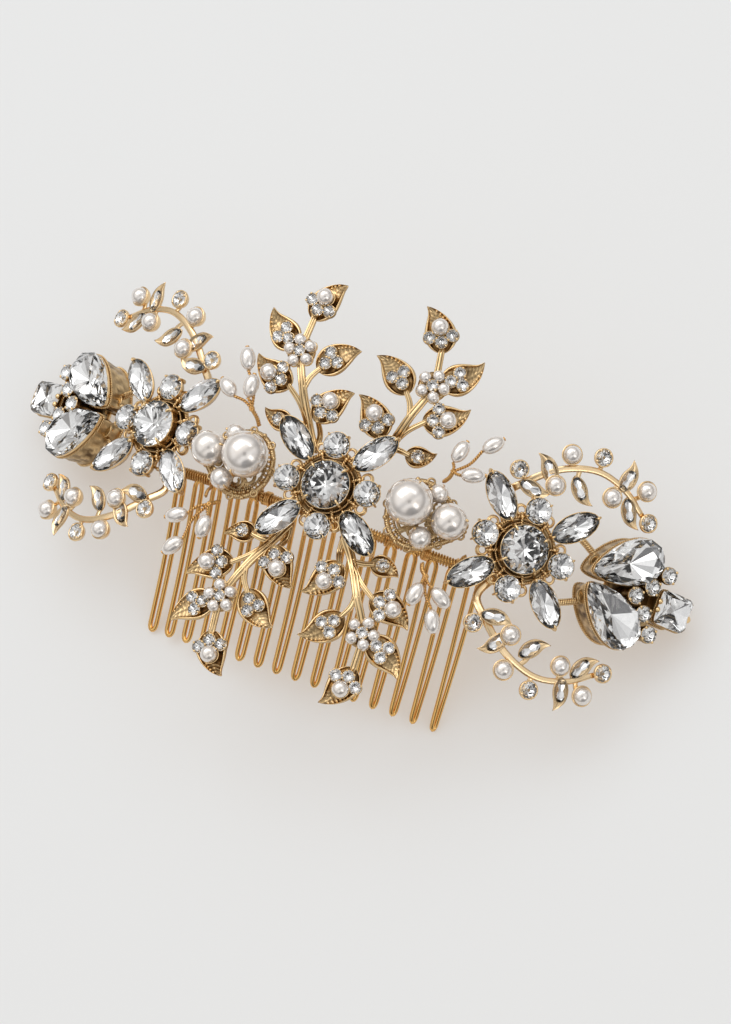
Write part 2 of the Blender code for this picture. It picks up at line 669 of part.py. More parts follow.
def tooth_loop(place):
    """One hairpin tooth as a closed loop of wire: two legs, a bend at the tip and one at the bar."""
    share = place / (TOOTH_COUNT - 1)
    offset = (place - (TOOTH_COUNT - 1) / 2) * TOOTH_PITCH
    angle = asin(offset / (ARCH_RADIUS + BAR_HEIGHT))
    inward = Matrix.Rotation(angle * TOOTH_FAN, 3, "Y") @ Vector((0, 0, -1))
    across_axis = Matrix.Rotation(angle * TOOTH_FAN, 3, "Y") @ Vector((1, 0, 0))
    top = on_arch(angle * ARCH_RADIUS, TOOTH_TOP, BAR_HEIGHT)
    top_gap = blend(*TOP_GAP, share)
    tip_gap = blend(*TIP_GAP, share)
    twist = blend(*TIP_TWIST, share)

    def leg_point(down, hand, squeeze=1.0):
        gap = blend(top_gap, tip_gap, down) * squeeze / 2
        turn = twist * down
        sideways = across_axis * cos(turn) + inward * sin(turn)
        bow = TOOTH_BOW * sin(pi * down)
        middle = top + Vector((0, -TOOTH_RUN * down, 0)) + inward * (TOOTH_DROP * down + bow)
        return middle + sideways * gap * hand

    downs = (0.07, 0.5, 0.94)
    tip = [leg_point(0.98, -1, 0.75), leg_point(1.0, 0), leg_point(0.98, 1, 0.75)]
    head = [leg_point(0.02, 1, 0.75), leg_point(0.0, 0), leg_point(0.02, -1, 0.75)]
    down_leg = [leg_point(down, -1) for down in downs]
    up_leg = [leg_point(down, 1) for down in reversed(downs)]
    return down_leg + tip + up_leg + head


def bar_half_length():
    return asin(TOOTH_COUNT / 2 * TOOTH_PITCH / (ARCH_RADIUS + BAR_HEIGHT)) * ARCH_RADIUS


def add_comb():
    reach = bar_half_length()
    bar = [on_arch(blend(-reach, reach, k / 16), BAR_ACROSS, BAR_HEIGHT) for k in range(17)]
    bodies = [tube(bar, BAR_RADIUS, 6)]
    for place in range(TOOTH_COUNT):
        bodies.append(tube(tooth_loop(place), TOOTH_WIRE, 6, closed=True))
    add_node("comb_wire", bodies, COMB_GOLD)


def add_lashing():
    """A fine wire wound round the bar, one turn for each tooth, crossing each tooth behind the bar."""
    coil = BAR_RADIUS + GAP + LASHING_WIRE
    turns = TOOTH_COUNT - 1
    half = (TOOTH_COUNT - 1) / 2 * TOOTH_PITCH
    points = []
    for step in range(turns * LASHING_STEPS + 1):
        turn = step / LASHING_STEPS
        offset = -half + turn * TOOTH_PITCH
        along = asin(offset / (ARCH_RADIUS + BAR_HEIGHT)) * ARCH_RADIUS
        angle = 2 * pi * turn
        points.append(on_arch(along, BAR_ACROSS + coil * cos(angle), BAR_HEIGHT + coil * sin(angle)))
    add_node("lashing_wire", [tube(points, LASHING_WIRE, 4)], COMB_GOLD)


for old in list(bpy.data.objects):
    bpy.data.objects.remove(old)

GOLD = make_material("antique_gold", (0.62, 0.42, 0.20), 0.32, 1.0)
PALE_GOLD = make_material("satin_gold", (0.80, 0.60, 0.36), 0.35, 1.0)
COMB_GOLD = make_material("comb_gold", (0.72, 0.46, 0.18), 0.28, 1.0)
CRYSTAL = make_material("foiled_crystal", (0.92, 0.93, 0.95), 0.05, 0.0)
PEARL = make_material("ivory_pearl", (0.90, 0.86, 0.80), 0.25, 0.0)
SIDES = {-1: "left", 1: "right"}

REST = bpy.data.objects.new("rest_pose", None)
bpy.context.collection.objects.link(REST)
REST.rotation_euler = (REST_TILT, 0, 0)
REST.location = (0, REST_SHIFT * MM, REST_LIFT * MM)

add_comb()
add_lashing()
for flower_name, flower_place in FLOWERS.items():
    add_flower(flower_name, *flower_place)
for spray_name, spray_place in SPRAY_SHIFTS.items():
    add_spray(spray_name, *spray_place)
for vine_name, vine_place in VINE_SHIFTS.items():
    add_vine(vine_name, *vine_place)
for cluster_side, cluster_name in SIDES.items():
    add_cluster(cluster_name, cluster_side)
    add_plaque(cluster_side)
    add_plaque_pearls(cluster_side)
for rice_name, rice_place in RICE_SPRAYS.items():
    add_rice_spray(rice_name, *rice_place)
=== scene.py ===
"""A bridal hair comb: crystal flowers, pearl plaques, leaf sprays, vines and jewelled ends on a wire comb.

Lengths are in millimetres until a piece is finished, when its mesh is turned into metres. The ornament
lies on an arch: a place is (along, across, height), along the arch from its crown, across it towards the
open side, and out of it. The teeth point to negative across.
"""

from math import asin, atan2, cos, pi, radians, sin

import bmesh
import bpy
import numpy as np
from mathutils import Matrix, Vector


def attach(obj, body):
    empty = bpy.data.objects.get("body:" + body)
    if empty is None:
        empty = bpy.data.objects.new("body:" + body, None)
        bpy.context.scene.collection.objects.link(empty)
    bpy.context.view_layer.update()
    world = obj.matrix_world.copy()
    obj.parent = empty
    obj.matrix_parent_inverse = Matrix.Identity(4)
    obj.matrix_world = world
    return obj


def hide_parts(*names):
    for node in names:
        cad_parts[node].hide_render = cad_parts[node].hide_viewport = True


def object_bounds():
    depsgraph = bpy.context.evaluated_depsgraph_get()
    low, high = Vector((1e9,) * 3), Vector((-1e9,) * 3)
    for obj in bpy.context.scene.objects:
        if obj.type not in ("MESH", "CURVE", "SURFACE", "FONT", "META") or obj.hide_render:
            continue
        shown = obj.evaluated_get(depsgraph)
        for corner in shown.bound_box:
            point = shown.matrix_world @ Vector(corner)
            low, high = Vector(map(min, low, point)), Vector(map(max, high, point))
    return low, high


bl_info = {
    "name": "Jewelled hair comb",
    "version": (1, 0, 0),
    "blender": (4, 5, 0),
    "location": "3D View > Sidebar > Hair comb",
    "description": "Makes the finished pieces of an arched, jewelled hair comb",
    "category": "Add Mesh",
}

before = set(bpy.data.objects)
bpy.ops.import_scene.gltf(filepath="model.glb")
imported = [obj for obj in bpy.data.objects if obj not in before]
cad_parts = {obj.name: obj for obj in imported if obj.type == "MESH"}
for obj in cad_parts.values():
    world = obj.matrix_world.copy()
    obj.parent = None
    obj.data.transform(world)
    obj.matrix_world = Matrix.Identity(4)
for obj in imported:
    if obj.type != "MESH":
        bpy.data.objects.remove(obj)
CAD_BOX = [list(corner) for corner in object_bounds()]

MM = 0.001
ARCH_RADIUS = 100.0
REST_TILT = radians(7.45)
REST_LIFT = 31.74
REST_SHIFT = 1.2
GAP = 0.3

SIDES = {"left": -1, "right": 1}
HANDS = {"upper": 1, "lower": -1}
SIDE_FLOWER_ALONG = 41.0
SIDE_FLOWER_ACROSS = 1.5
FLOWERS = {"left": (-SIDE_FLOWER_ALONG, SIDE_FLOWER_ACROSS, 0.0),
           "centre": (0.0, 0.0, radians(7.0)),
           "right": (SIDE_FLOWER_ALONG, SIDE_FLOWER_ACROSS, radians(-2.0))}
PETALS = {"upper_right": 45.0, "upper_left": 135.0, "lower_left": 225.0, "lower_right": 315.0}
ROUNDS = {"right": 0.0, "upper": 90.0, "left": 180.0, "lower": 270.0}
PLATE_THICKNESS = 1.2
CENTRE_STONE_RADIUS = 5.0
NAVETTE_LENGTH = 10.6
NAVETTE_WIDTH = 5.6
NAVETTE_REACH = 11.8
ROUND_RADIUS = 2.75
ROUND_REACH = 8.5
STONE_FLOOR = PLATE_THICKNESS + GAP
CENTRE_CUT = (2.0, 2.2)
NAVETTE_CUT = (1.6, 1.0)
ROUND_CUT = (1.3, 0.9)

SPRAY_SHIFTS = {
    "upper_right": (1, 1, -0.3, -0.5, radians(4.5)),
    "upper_left": (-1, 1, 0.2, -1.5, radians(-2)),
    "lower_left": (-1, -1, -1.0, 1.6, radians(3)),
    "lower_right": (1, -1, 0.8, 0.2, radians(-7)),
}
SPRAY_ROOT = (8.8, 12.3)
PEARL_LEAVES = ((12.8, 38.0, 110.0), (18.9, 20.2, 15.0), (4.9, 17.6, 118.0))
CRYSTAL_LEAVES = ((6.8, 27.2, 130.0), (19.9, 29.4, 28.0))
SMALL_LEAF = (15.7, 11.9, 1.0)
SMALL_LEAF_HEIGHT = -0.9
SPRAY_FLOWER = (14.4, 26.3)
SPRAY_FORK = (11.6, 19.0)
STEM_ROOT = (6.0, 7.4)
INNER_ROOT = (5.8, 11.0)
SPRAY_HEIGHT = 1.5
ROOT_HEIGHT = -1.3
LEAF_SIZE = (9.9, 6.8)
SMALL_LEAF_SIZE = (6.4, 4.8)
LEAF_CURL = 1.5
LEAF_PEARL_RADIUS = 1.75
PAVE_RADIUS = 1.28
LEAF_GRAIN_RADIUS = 0.27
LEAF_GRAIN_COLUMNS = (7, 15)

VINE_STEM = ((-5.2, 11.6, -2.9), (-2.4, 15.6, -1.0), (3.5, 20.6, 0.0), (10.8, 23.0, 0.0),
             (17.6, 21.6, 0.0), (23.0, 18.2, 0.0))
VINE_ROOT = (-3.0, 6.6)
VINE_PEARLS = ((4.3, 24.1), (3.3, 17.0), (15.2, 19.1), (21.8, 23.1))
VINE_ROUNDS = ((-4.6, 17.4), (10.7, 26.0), (24.6, 17.2))
VINE_LEAVES = ((-0.4, 14.6, -10.0), (1.0, 19.9, 125.0), (8.7, 17.7, -50.0), (17.5, 24.3, 75.0),
               (20.1, 17.4, -60.0))
VINE_SHIFTS = {"right_upper": (1, 1, -1.6, -2.4, 0.0), "right_lower": (1, -1, 0.2, 0.0, 0.0),
               "left_upper": (-1, 1, -3.4, 0.0, radians(9)), "left_lower": (-1, -1, -0.2, 0.0, 0.0)}
VINE_HEIGHT = 1.6
VINE_PEARL_RADIUS = 1.9
VINE_ROUND_RADIUS = 1.7
VINE_LEAF_SIZE = (5.8, 2.9)

PEAR_ALONG = 62.4
PEAR_SPREAD = 5.5
PEAR_TURN = radians(31.0)
PEAR_LENGTH = 16.4
PEAR_WIDTH = 9.2
SQUARE_ALONG = 75.6
SQUARE_SIDE = 7.4
CLUSTER_ROUNDS = ((66.2, 0.0), (69.2, 2.9), (69.2, -2.9), (71.9, 6.4), (71.9, -6.4))
CLUSTER_ROUND_RADIUS = 1.6
CLUSTER_FLOOR = -4.2
SEAT_TOP = 1.7
POINT_ALONG = 80.9
BRIDGE_START = (58.4, 4.4, -1.8)
BRIDGE_END = (52.5, 7.0, -1.4)
PEAR_CUT = (2.7, 1.5)
SQUARE_CUT = (2.1, 1.3)

PLAQUE_START = 12.8
PLAQUE_END = 28.6
PLAQUE_HALF_WIDTH = 7.2
PLAQUE_ACROSS = {"left": -0.8, "right": 0.8}
PLAQUE_HEIGHT = 0.2
LARGE_PEARL = (16.8, 1.2, 4.8)
MEDIUM_PEARL = (25.2, 0.4, 3.7)
SMALL_PEARL = (21.0, -4.6, 2.3)
TINY_PEARL = (21.6, 5.2, 2.0)
PEARL_FLOOR = 1.2

RICE_SPRAYS = {
    "right_upper": (1, (21.6, 8.9), (22.6, 10.9),
                    ((22.6, 15.0, 75), (28.0, 18.6, 50), (26.4, 11.4, 20))),
    "right_lower": (1, (23.2, -8.2), (24.6, -10.9),
                    ((23.8, -15.0, -100), (28.6, -14.0, -30), (28.6, -19.0, -65))),
    "left_lower": (-1, (21.0, -9.8), (20.6, -11.4),
                   ((26.0, -15.6, -25), (19.6, -16.2, -90), (24.4, -21.8, -50))),
    "left_upper": (-1, (18.6, 7.6), (19.2, 9.8),
                   ((23.4, 19.4, 65), (25.2, 12.6, 35), (20.6, 14.2, 85))),
}
RICE_HEIGHT = 6.2
RICE_LENGTH = 5.0
RICE_RADIUS = 1.6

TOOTH_COUNT = 16
TOOTH_PITCH = 4.36
TOOTH_WIRE = 0.5
TOOTH_TOP = -6.2
TOOTH_RUN = 31.3
TOOTH_DROP = 17.0
TOOTH_BOW = 1.2
TOOTH_FAN = 0.12
TOP_GAP = (1.5, 2.0)
TIP_GAP = (1.35, 1.2)
TIP_TWIST = (0.0, radians(60))
BAR_ACROSS = -5.6
BAR_HEIGHT = -3.8
BAR_RADIUS = 0.8

CAMERA_YAW = radians(13.84)
CAMERA_PITCH = radians(13.70)
CAMERA_ROLL = radians(22.17)
CAMERA_TARGET = (6.09, 1.82, 19.99)
CAMERA_DISTANCE = 694.5
CAMERA_LENS = 118.9
CAMERA_SENSOR = 36.0
FLOOR_HALF = 3.0
FLOOR_DROP = 0.0002
NEAR_CLIP = 0.01
PEARL_SHIFT = 0.3
BESIDE_PEARL = ((-2.75, 0.0), (-1.6, 2.35), (-1.6, -2.35))
WITHOUT_PEARL = ((-2.6, 0.0), (-0.5, 1.25), (-0.5, -1.25))
SPRAY_PETAL = (1.25, 2.35, 1.1)
STEM_WIDTH = 0.95
BRANCH_WIDTH = 0.62
TWIG_SINK = 0.7


# Places on the arch, as 4 by 4 placements in millimetres of the rest pose


def turn_matrix(angle, axis):
    """The rotation of an angle about one axis: cos and sin in the plane of the other two."""
    return np.array(Matrix.Rotation(angle, 4, axis))


def shift_matrix(x, y, z):
    return np.array(Matrix.Translation((x, y, z)))


REST = shift_matrix(0, REST_SHIFT, REST_LIFT) @ turn_matrix(REST_TILT, "X")


def on_arch(along, across, height):
    """x = (R + height) sin(along / R), y = across, z = (R + height) cos(along / R) - R, then tilted."""
    along, across, height = np.broadcast_arrays(along, across, height)
    angle = along / ARCH_RADIUS
    reach = ARCH_RADIUS + height
    places = np.stack([reach * np.sin(angle), across + 0 * angle, reach * np.cos(angle) - ARCH_RADIUS], -1)
    return places @ REST[:3, :3].T + REST[:3, 3]


def arch_normal(along):
    """The arch's outward direction: (sin, 0, cos) of along / R, tilted."""
    angle = np.asarray(along, float) / ARCH_RADIUS
    return np.stack([np.sin(angle), 0 * angle, np.cos(angle)], -1) @ REST[:3, :3].T


def arch_frame(along, across, height, turn=0.0):
    """The placement of a flat piece that touches the arch, turned about the arch's own normal."""
    angle = along / ARCH_RADIUS
    reach = ARCH_RADIUS + height
    middle = shift_matrix(reach * sin(angle), across, reach * cos(angle) - ARCH_RADIUS)
    return REST @ middle @ turn_matrix(angle, "Y") @ turn_matrix(turn, "Z")


def cluster_frame(side, outward, across, height, turn=0.0):
    """A place in the flat plane of an end, which touches the arch at the pear stones."""
    plane = arch_frame(side * PEAR_ALONG, SIDE_FLOWER_ACROSS, height)
    heading = turn if side > 0 else pi - turn
    return plane @ shift_matrix(side * (outward - PEAR_ALONG), across, 0) @ turn_matrix(heading, "Z")


def polar(degrees, reach, height=0.0):
    return turn_matrix(radians(degrees), "Z") @ shift_matrix(reach, 0, height)


class Quadrant:
    """Turns a casting's own (outward, away) places into places on the arch, mirrored and shifted."""

    def __init__(self, mirror_along, mirror_across, shift, turn, pivot, origin=(0.0, 0.0)):
        self.mirror = (mirror_along, mirror_across)
        self.side = mirror_along * mirror_across
        self.shift = shift
        self.turn = turn
        self.pivot = pivot
        self.origin = origin

    def flat(self, outward, away):
        x, y = outward - self.pivot[0], away - self.pivot[1]
        outward = x * cos(self.turn) - y * sin(self.turn) + self.pivot[0] + self.shift[0]
        away = x * sin(self.turn) + y * cos(self.turn) + self.pivot[1] + self.shift[1]
        return self.origin[0] + self.mirror[0] * outward, self.origin[1] + self.mirror[1] * away

    def point(self, outward, away, height):
        return on_arch(*self.flat(outward, away), height)

    def frame(self, outward, away, height, degrees=0.0):
        angle = radians(degrees) + self.turn
        heading = atan2(self.mirror[1] * sin(angle), self.mirror[0] * cos(angle))
        return arch_frame(*self.flat(outward, away), height, heading)

    def normal(self, outward, away):
        return arch_normal(self.flat(outward, away)[0])


# Skins: closed surfaces held as arrays


class Skin:
    """Points, faces of four corners (the last is -1 in a triangle), the shade and tarnish of each point from
    0 on polished heights to 1 in recesses, painted shade there along with tarnish, and the finish and the
    smoothness of each face."""

    def __init__(self, points, faces, shade_and_tarnish=0.0, finish=0, smooth=True):
        self.points = np.asarray(points, float)
        self.faces = np.asarray(faces, int)
        self.shade_and_tarnish = np.array(np.broadcast_to(shade_and_tarnish, len(self.points)), float)
        self.finish = np.array(np.broadcast_to(finish, len(self.faces)), int)
        self.smooth = np.array(np.broadcast_to(smooth, len(self.faces)), bool)

    def at(self, *places):
        """A copy at each placement: every point times the placement's turn, plus its shift."""
        places = np.asarray(places, float).reshape(-1, 4, 4)
        count = len(places)
        points = np.einsum("kij,nj->kni", places[:, :3, :3], self.points) + places[:, None, :3, 3]
        offset = (np.arange(count) * len(self.points))[:, None, None]
        faces = np.where(self.faces[None] < 0, -1, self.faces[None] + offset)
        return Skin(points.reshape(-1, 3), faces.reshape(-1, 4), np.tile(self.shade_and_tarnish, count),
                    np.tile(self.finish, count), np.tile(self.smooth, count))


def joined(skins):
    """All the skins in one, with each one's corners counted on from the last."""
    starts = np.cumsum([0] + [len(skin.points) for skin in skins])
    faces = [np.where(skin.faces < 0, -1, skin.faces + start) for skin, start in zip(skins, starts)]
    return Skin(np.concatenate([skin.points for skin in skins]), np.concatenate(faces),
                np.concatenate([skin.shade_and_tarnish for skin in skins]),
                np.concatenate([skin.finish for skin in skins]),
                np.concatenate([skin.smooth for skin in skins]))


def surface(points, shade_and_tarnish=0.0, around=True, finish=0, smooth=True):
    """A skin over a grid of points (rows, columns). Points in one place become one point, so a row that
    shrinks to a point closes as a pole; around joins the last column to the first."""
    rows, columns = points.shape[:2]
    shade_and_tarnish = np.broadcast_to(shade_and_tarnish, (rows, columns)).reshape(-1)
    index = np.arange(rows * columns).reshape(rows, columns)
    if around:
        index = np.concatenate([index, index[:, :1]], axis=1)
    corners = np.stack([index[:-1, :-1], index[:-1, 1:], index[1:, 1:], index[1:, :-1]], -1)
    flat = points.reshape(-1, 3)
    keys = np.round(flat / 1e-4).astype(np.int64)
    _, first, merged = np.unique(keys, axis=0, return_index=True, return_inverse=True)
    corners = merged.reshape(-1)[corners.reshape(-1, 4)]
    same = corners == np.roll(corners, -1, axis=1)
    whole = corners[same.sum(axis=1) == 0]
    halves = corners[same.sum(axis=1) == 1]
    drop = same[same.sum(axis=1) == 1].argmax(axis=1)
    turned = (drop[:, None] + 1 + np.arange(3)) % 4
    triangles = np.concatenate([np.take_along_axis(halves, turned, axis=1),
                                np.full((len(halves), 1), -1)], axis=1)
    return Skin(flat[first], np.concatenate([whole, triangles]), shade_and_tarnish[first], finish, smooth)


def pointed(points, shade_and_tarnish):
    """A skin over a grid whose first and last rows shrink to the mean of their points."""
    points[0] = points[0].mean(axis=0)
    points[-1] = points[-1].mean(axis=0)
    return surface(points, shade_and_tarnish)


def lengths(path):
    """The running length along a path: the sum of its steps."""
    steps = np.linalg.norm(np.diff(path, axis=0), axis=1)
    return np.concatenate([[0.0], np.cumsum(steps)])


def resampled(path, step, closed=False):
    """The same path at even steps: each coordinate read off against the running length."""
    path = np.asarray(path, float)
    if closed:
        path = np.concatenate([path, path[:1]])
    run = lengths(path)
    count = max(int(round(run[-1] / step)), 4)
    marks = np.linspace(0, run[-1], count + 1)
    even = np.stack([np.interp(marks, run, path[:, axis]) for axis in range(3)], -1)
    return even[:-1] if closed else even


def curved(knots, steps, closed=False):
    """A Catmull-Rom curve: between b and c it is (2b + (c-a)u + (2a-5b+4c-d)u^2 + (3b-a-3c+d)u^3) / 2."""
    knots = np.asarray(knots, float)
    if closed:
        padded = np.concatenate([knots[-1:], knots, knots[:2]])
    else:
        padded = np.concatenate([2 * knots[:1] - knots[1:2], knots, 2 * knots[-1:] - knots[-2:-1]])
    a, b, c, d = (padded[k:len(padded) - 3 + k, None] for k in range(4))
    u = (np.arange(steps) / steps)[None, :, None]
    path = (2 * b + (c - a) * u + (2 * a - 5 * b + 4 * c - d) * u**2 + (3 * b - a - 3 * c + d) * u**3) / 2
    path = path.reshape(-1, knots.shape[1])
    return path if closed else np.concatenate([path, knots[-1:]])


def unit(vectors):
    return vectors / np.maximum(np.linalg.norm(vectors, axis=-1, keepdims=True), 1e-9)


def directions(path, up, closed):
    """The tangent of a path, and the side and lift directions square to it that lean to up."""
    if closed:
        tangent = unit(np.roll(path, -1, axis=0) - np.roll(path, 1, axis=0))
    else:
        tangent = unit(np.gradient(path, axis=0))
    side = unit(np.cross(tangent, up))
    return side, unit(np.cross(side, tangent))


def plane_normal(path):
    """The mean of the cross products of the arms from the path's middle: square to a loop's plane."""
    arms = path - path.mean(axis=0)
    return unit(np.cross(arms, np.roll(arms, -1, axis=0)).sum(axis=0))


def circle_profile(sides):
    angle = 2 * pi * np.arange(sides) / sides
    return np.stack([np.cos(angle), np.sin(angle)], -1)


def sweep(path, profile, up, size=1.0, closed=False, shade_and_tarnish=0.0):
    """A profile carried along a path: point = path + size (x side + y lift). Open ends close to a point."""
    path = np.asarray(path, float)
    side, lift = directions(path, up, closed)
    size = np.broadcast_to(np.asarray(size, float), (len(path),))[:, None, None]
    x, y = profile[None, :, :1], profile[None, :, 1:]
    rings = path[:, None] + size * (x * side[:, None] + y * lift[:, None])
    shade_and_tarnish = np.broadcast_to(shade_and_tarnish, rings.shape[:2])
    if closed:
        rings = np.concatenate([rings, rings[:1]])
        shade_and_tarnish = np.concatenate([shade_and_tarnish, shade_and_tarnish[:1]])
    else:
        first = np.broadcast_to(path[:1, None], rings[:1].shape)
        last = np.broadcast_to(path[-1:, None], rings[:1].shape)
        rings = np.concatenate([first, rings, last])
        shade_and_tarnish = np.concatenate([shade_and_tarnish[:1], shade_and_tarnish, shade_and_tarnish[-1:]])
    return surface(rings, shade_and_tarnish)


def wire(path, radius, up=None, sides=8, closed=False, shade_and_tarnish=0.0):
    """A round wire along a path."""
    path = np.asarray(path, float)
    if up is None:
        up = plane_normal(path)
    return sweep(path, circle_profile(sides), up, radius, closed, shade_and_tarnish)


def rope(path, up, radius, pitch, closed=False, strands=2, sides=6):
    """Strands wound round a path: each centre is path + r/2 (cos a side + sin a lift), where a turns once
    in a pitch of length. Painted shade, along with tarnish, is deepest where a strand faces the next."""
    path = resampled(path, pitch / 8, closed)
    total = lengths(np.concatenate([path, path[:1]]) if closed else path)[-1]
    turns = max(round(total / pitch), 1)
    run = np.arange(len(path)) / (len(path) if closed else len(path) - 1)
    side, lift = directions(path, up, closed)
    skins = []
    for strand in range(strands):
        angle = (2 * pi * (turns * run + strand / strands))[:, None]
        centre = path + radius * 0.52 * (np.cos(angle) * side + np.sin(angle) * lift)
        outward = np.cos(angle) * side + np.sin(angle) * lift
        skins.append(sweep(centre, circle_profile(sides), outward, radius * 0.56, closed,
                           shade_and_tarnish=(0.5 - 0.5 * np.sin(2 * pi * np.arange(sides) / sides))[None, :] * 0.9))
    return joined(skins)


def ball(radius, segments=24, rings=14, stretch=1.0):
    """A ball, or an egg along X: x = s r cos b, y = r sin b cos a, z = r sin b sin a."""
    latitude = np.linspace(0, pi, rings + 1)[:, None]
    angle = (2 * pi * np.arange(segments) / segments)[None]
    points = np.stack([stretch * radius * np.cos(latitude) + 0 * angle,
                       radius * np.sin(latitude) * np.cos(angle),
                       radius * np.sin(latitude) * np.sin(angle)], -1)
    return surface(points)


def beads(path, radius, spacing, closed=False):
    """Small polished balls in a row along a path."""
    path = resampled(path, spacing, closed)
    places = np.tile(np.eye(4), (len(path), 1, 1))
    places[:, :3, 3] = path
    return ball(radius, 8, 5).at(*places)


# Outlines, each a closed ring of points in the plane


def circle(sides, radius):
    return circle_profile(sides) * radius


def navette(sides, length, width):
    """Two arcs that meet in blunt points: x = l/2 cos a, y = w/2 sin a |sin a|^0.1."""
    x, y = circle_profile(sides).T
    return np.stack([length / 2 * x, width / 2 * y * np.abs(y) ** 0.1], -1)


def pear(sides, length, width):
    """Pointed at negative X: x = -l/2 cos a, y = -w/2 sin a (1 - 0.32 cos a), drawn in near the point."""
    x, y = circle_profile(sides).T
    point = np.abs(y) ** (0.1 * (1 + x))
    return np.stack([-length / 2 * x, -width / 2 * y * (1 - 0.32 * x) * point], -1)


def cushion(sides, side):
    """A square with softened corners: x = h cos a |cos a|^-0.74, and the same with sin."""
    ring = circle_profile(sides)
    return side / 2 * np.sign(ring) * np.abs(np.round(ring, 9)) ** 0.26


def raised(outline, height=0.0):
    """An outline lifted to one height: (x, y) becomes (x, y, height)."""
    return np.concatenate([outline, np.full((len(outline), 1), height)], 1)


def outline_normals(outline):
    """The outward direction at each point of a ring: its tangent turned by a quarter."""
    tangent = unit(np.roll(outline, -1, axis=0) - np.roll(outline, 1, axis=0))
    return np.stack([tangent[:, 1], -tangent[:, 0]], -1)


def turned(outline, profile, shade_and_tarnish=0.0):
    """A wall round an outline: each profile row (share, offset, height) gives the ring
    share * outline + offset * outward normal. The first and last rows close to the middle."""
    normals = outline_normals(outline)
    rows = np.asarray(profile, float)
    flat = rows[:, None, :1] * outline[None] + rows[:, None, 1:2] * normals[None]
    height = np.broadcast_to(rows[:, None, 2:3], (*flat.shape[:2], 1))
    points = np.concatenate([flat, height], -1)
    shade_and_tarnish = np.broadcast_to(np.reshape(shade_and_tarnish, (-1, 1)) if np.ndim(shade_and_tarnish) == 1 else shade_and_tarnish, points.shape[:2])
    foot, head = points[:1] * [0, 0, 1], points[-1:] * [0, 0, 1]
    return surface(np.concatenate([foot, points, head]), np.concatenate([shade_and_tarnish[:1], shade_and_tarnish, shade_and_tarnish[-1:]]))


OCTAGON = np.array([(0, 1, 2, 3), (0, 3, 4, 7), (4, 5, 6, 7)])


def brilliant(outline, crown, pavilion, table=0.56, star=0.80, lower=0.0):
    """A cut stone on Z = 0 with a girdle of 16 points at the height of its pavilion. Table, star, kite and
    girdle facets are rings of the outline times a share. Below the girdle it is foiled, in eight broad
    facets, or with a lower ring, in eight kites between sixteen halves."""
    ring = np.arange(8)
    even, odd = 2 * ring, 2 * ring + 1
    after, wrap = (ring + 1) % 8, (2 * ring + 2) % 16
    edge = 0.12

    def level(points, height):
        return np.concatenate([points, np.full((len(points), 1), height)], 1)

    top = pavilion + crown
    points = np.concatenate([
        level(outline[::2] * table, top),
        level(outline[1::2] * star, pavilion + edge + (crown - edge) * 0.60),
        level(outline, pavilion + edge),
        level(outline, pavilion),
        level(np.zeros((1, 2)), 0.0),
        level(outline[1::2] * lower, pavilion * 0.36)][:None if lower else 5])
    t, s, g, h, p = ring, 8 + ring, 16 + np.arange(16), 32 + np.arange(16), 49 + ring
    none = np.full(8, -1)
    crown_faces = [OCTAGON,
                   np.stack([t, s, t[after], none], 1),
                   np.stack([t, np.roll(s, 1), g[even], s], 1),
                   np.stack([s, g[even], g[odd], none], 1),
                   np.stack([s, g[odd], g[wrap], none], 1),
                   np.stack([g, np.roll(g, -1), np.roll(h, -1), h], 1)]
    tip = np.full(8, 48)
    foil_faces = [np.stack([tip, h[odd], h[wrap], h[(2 * ring + 3) % 16]], 1)]
    if lower:
        foil_faces = [np.stack([p, h[even], h[odd], none], 1), np.stack([p, h[odd], h[wrap], none], 1),
                      np.stack([tip, np.roll(p, 1), h[even], p], 1)]
    clear = sum(len(faces) for faces in crown_faces)
    faces = np.concatenate(crown_faces + foil_faces)
    return Skin(points, faces, 0.0, np.arange(len(faces)) >= clear, False)


def cup(outline, low, high, foot=0.6, lip=0.16, wall=0.32):
    """A setting: a wall that widens from its foot to a thin lip round the stone's girdle."""
    rise = high - low
    profile = [(foot * 0.9, 0.0, low), (foot, 0.1, low + 0.1), (foot, 0.16, low + 0.16 * rise),
               (foot + 0.22, 0.0, low + 0.36 * rise), (foot + 0.24, 0.1, low + 0.5 * rise),
               (1.0, -0.12, low + 0.66 * rise), (1.0, lip, low + 0.86 * rise), (1.0, lip + 0.03, high - 0.04),
               (1.0, lip - 0.05, high), (1.0, lip - wall * 0.6, high - 0.05), (1.0, -wall, high - 0.4),
               (0.7, 0.0, low + 0.45 * rise), (0.3, 0.0, low + 0.2)]
    # Dark at the foot and inside the wall, light on the lip: painted shade along with tarnish
    shade_and_tarnish = [0.9, 0.5, 0.35, 0.8, 0.45, 0.6, 0.1, 0.0, 0.0, 0.3, 0.9, 1.0, 1.0]
    return turned(outline, profile, np.array(shade_and_tarnish))


def prong(reach, low, high, radius, bite=0.5):
    """A claw at distance reach on X: it climbs the setting's wall and bends inwards over the stone."""
    knots = [(reach - 0.5, 0, low), (reach + 0.1, 0, low + 0.45 * (high - low)),
             (reach + 0.14, 0, high - 0.1), (reach - 0.1, 0, high + 0.42),
             (reach - bite, 0, high + 0.42 + 0.55 * bite)]
    path = curved(knots, 4)
    share = np.linspace(0, 1, len(path))
    size = radius * np.sqrt(np.clip(1 - (2 * share - 1) ** 8, 0.05, 1)) * (1.1 - 0.3 * share)
    # Darker towards the claw's foot where it meets the wall: painted shade along with tarnish
    return sweep(path, circle_profile(8) * [1.25, 0.8], (0, 1, 0), size,
                 shade_and_tarnish=(0.5 * (1 - share))[:, None])


# Finishes


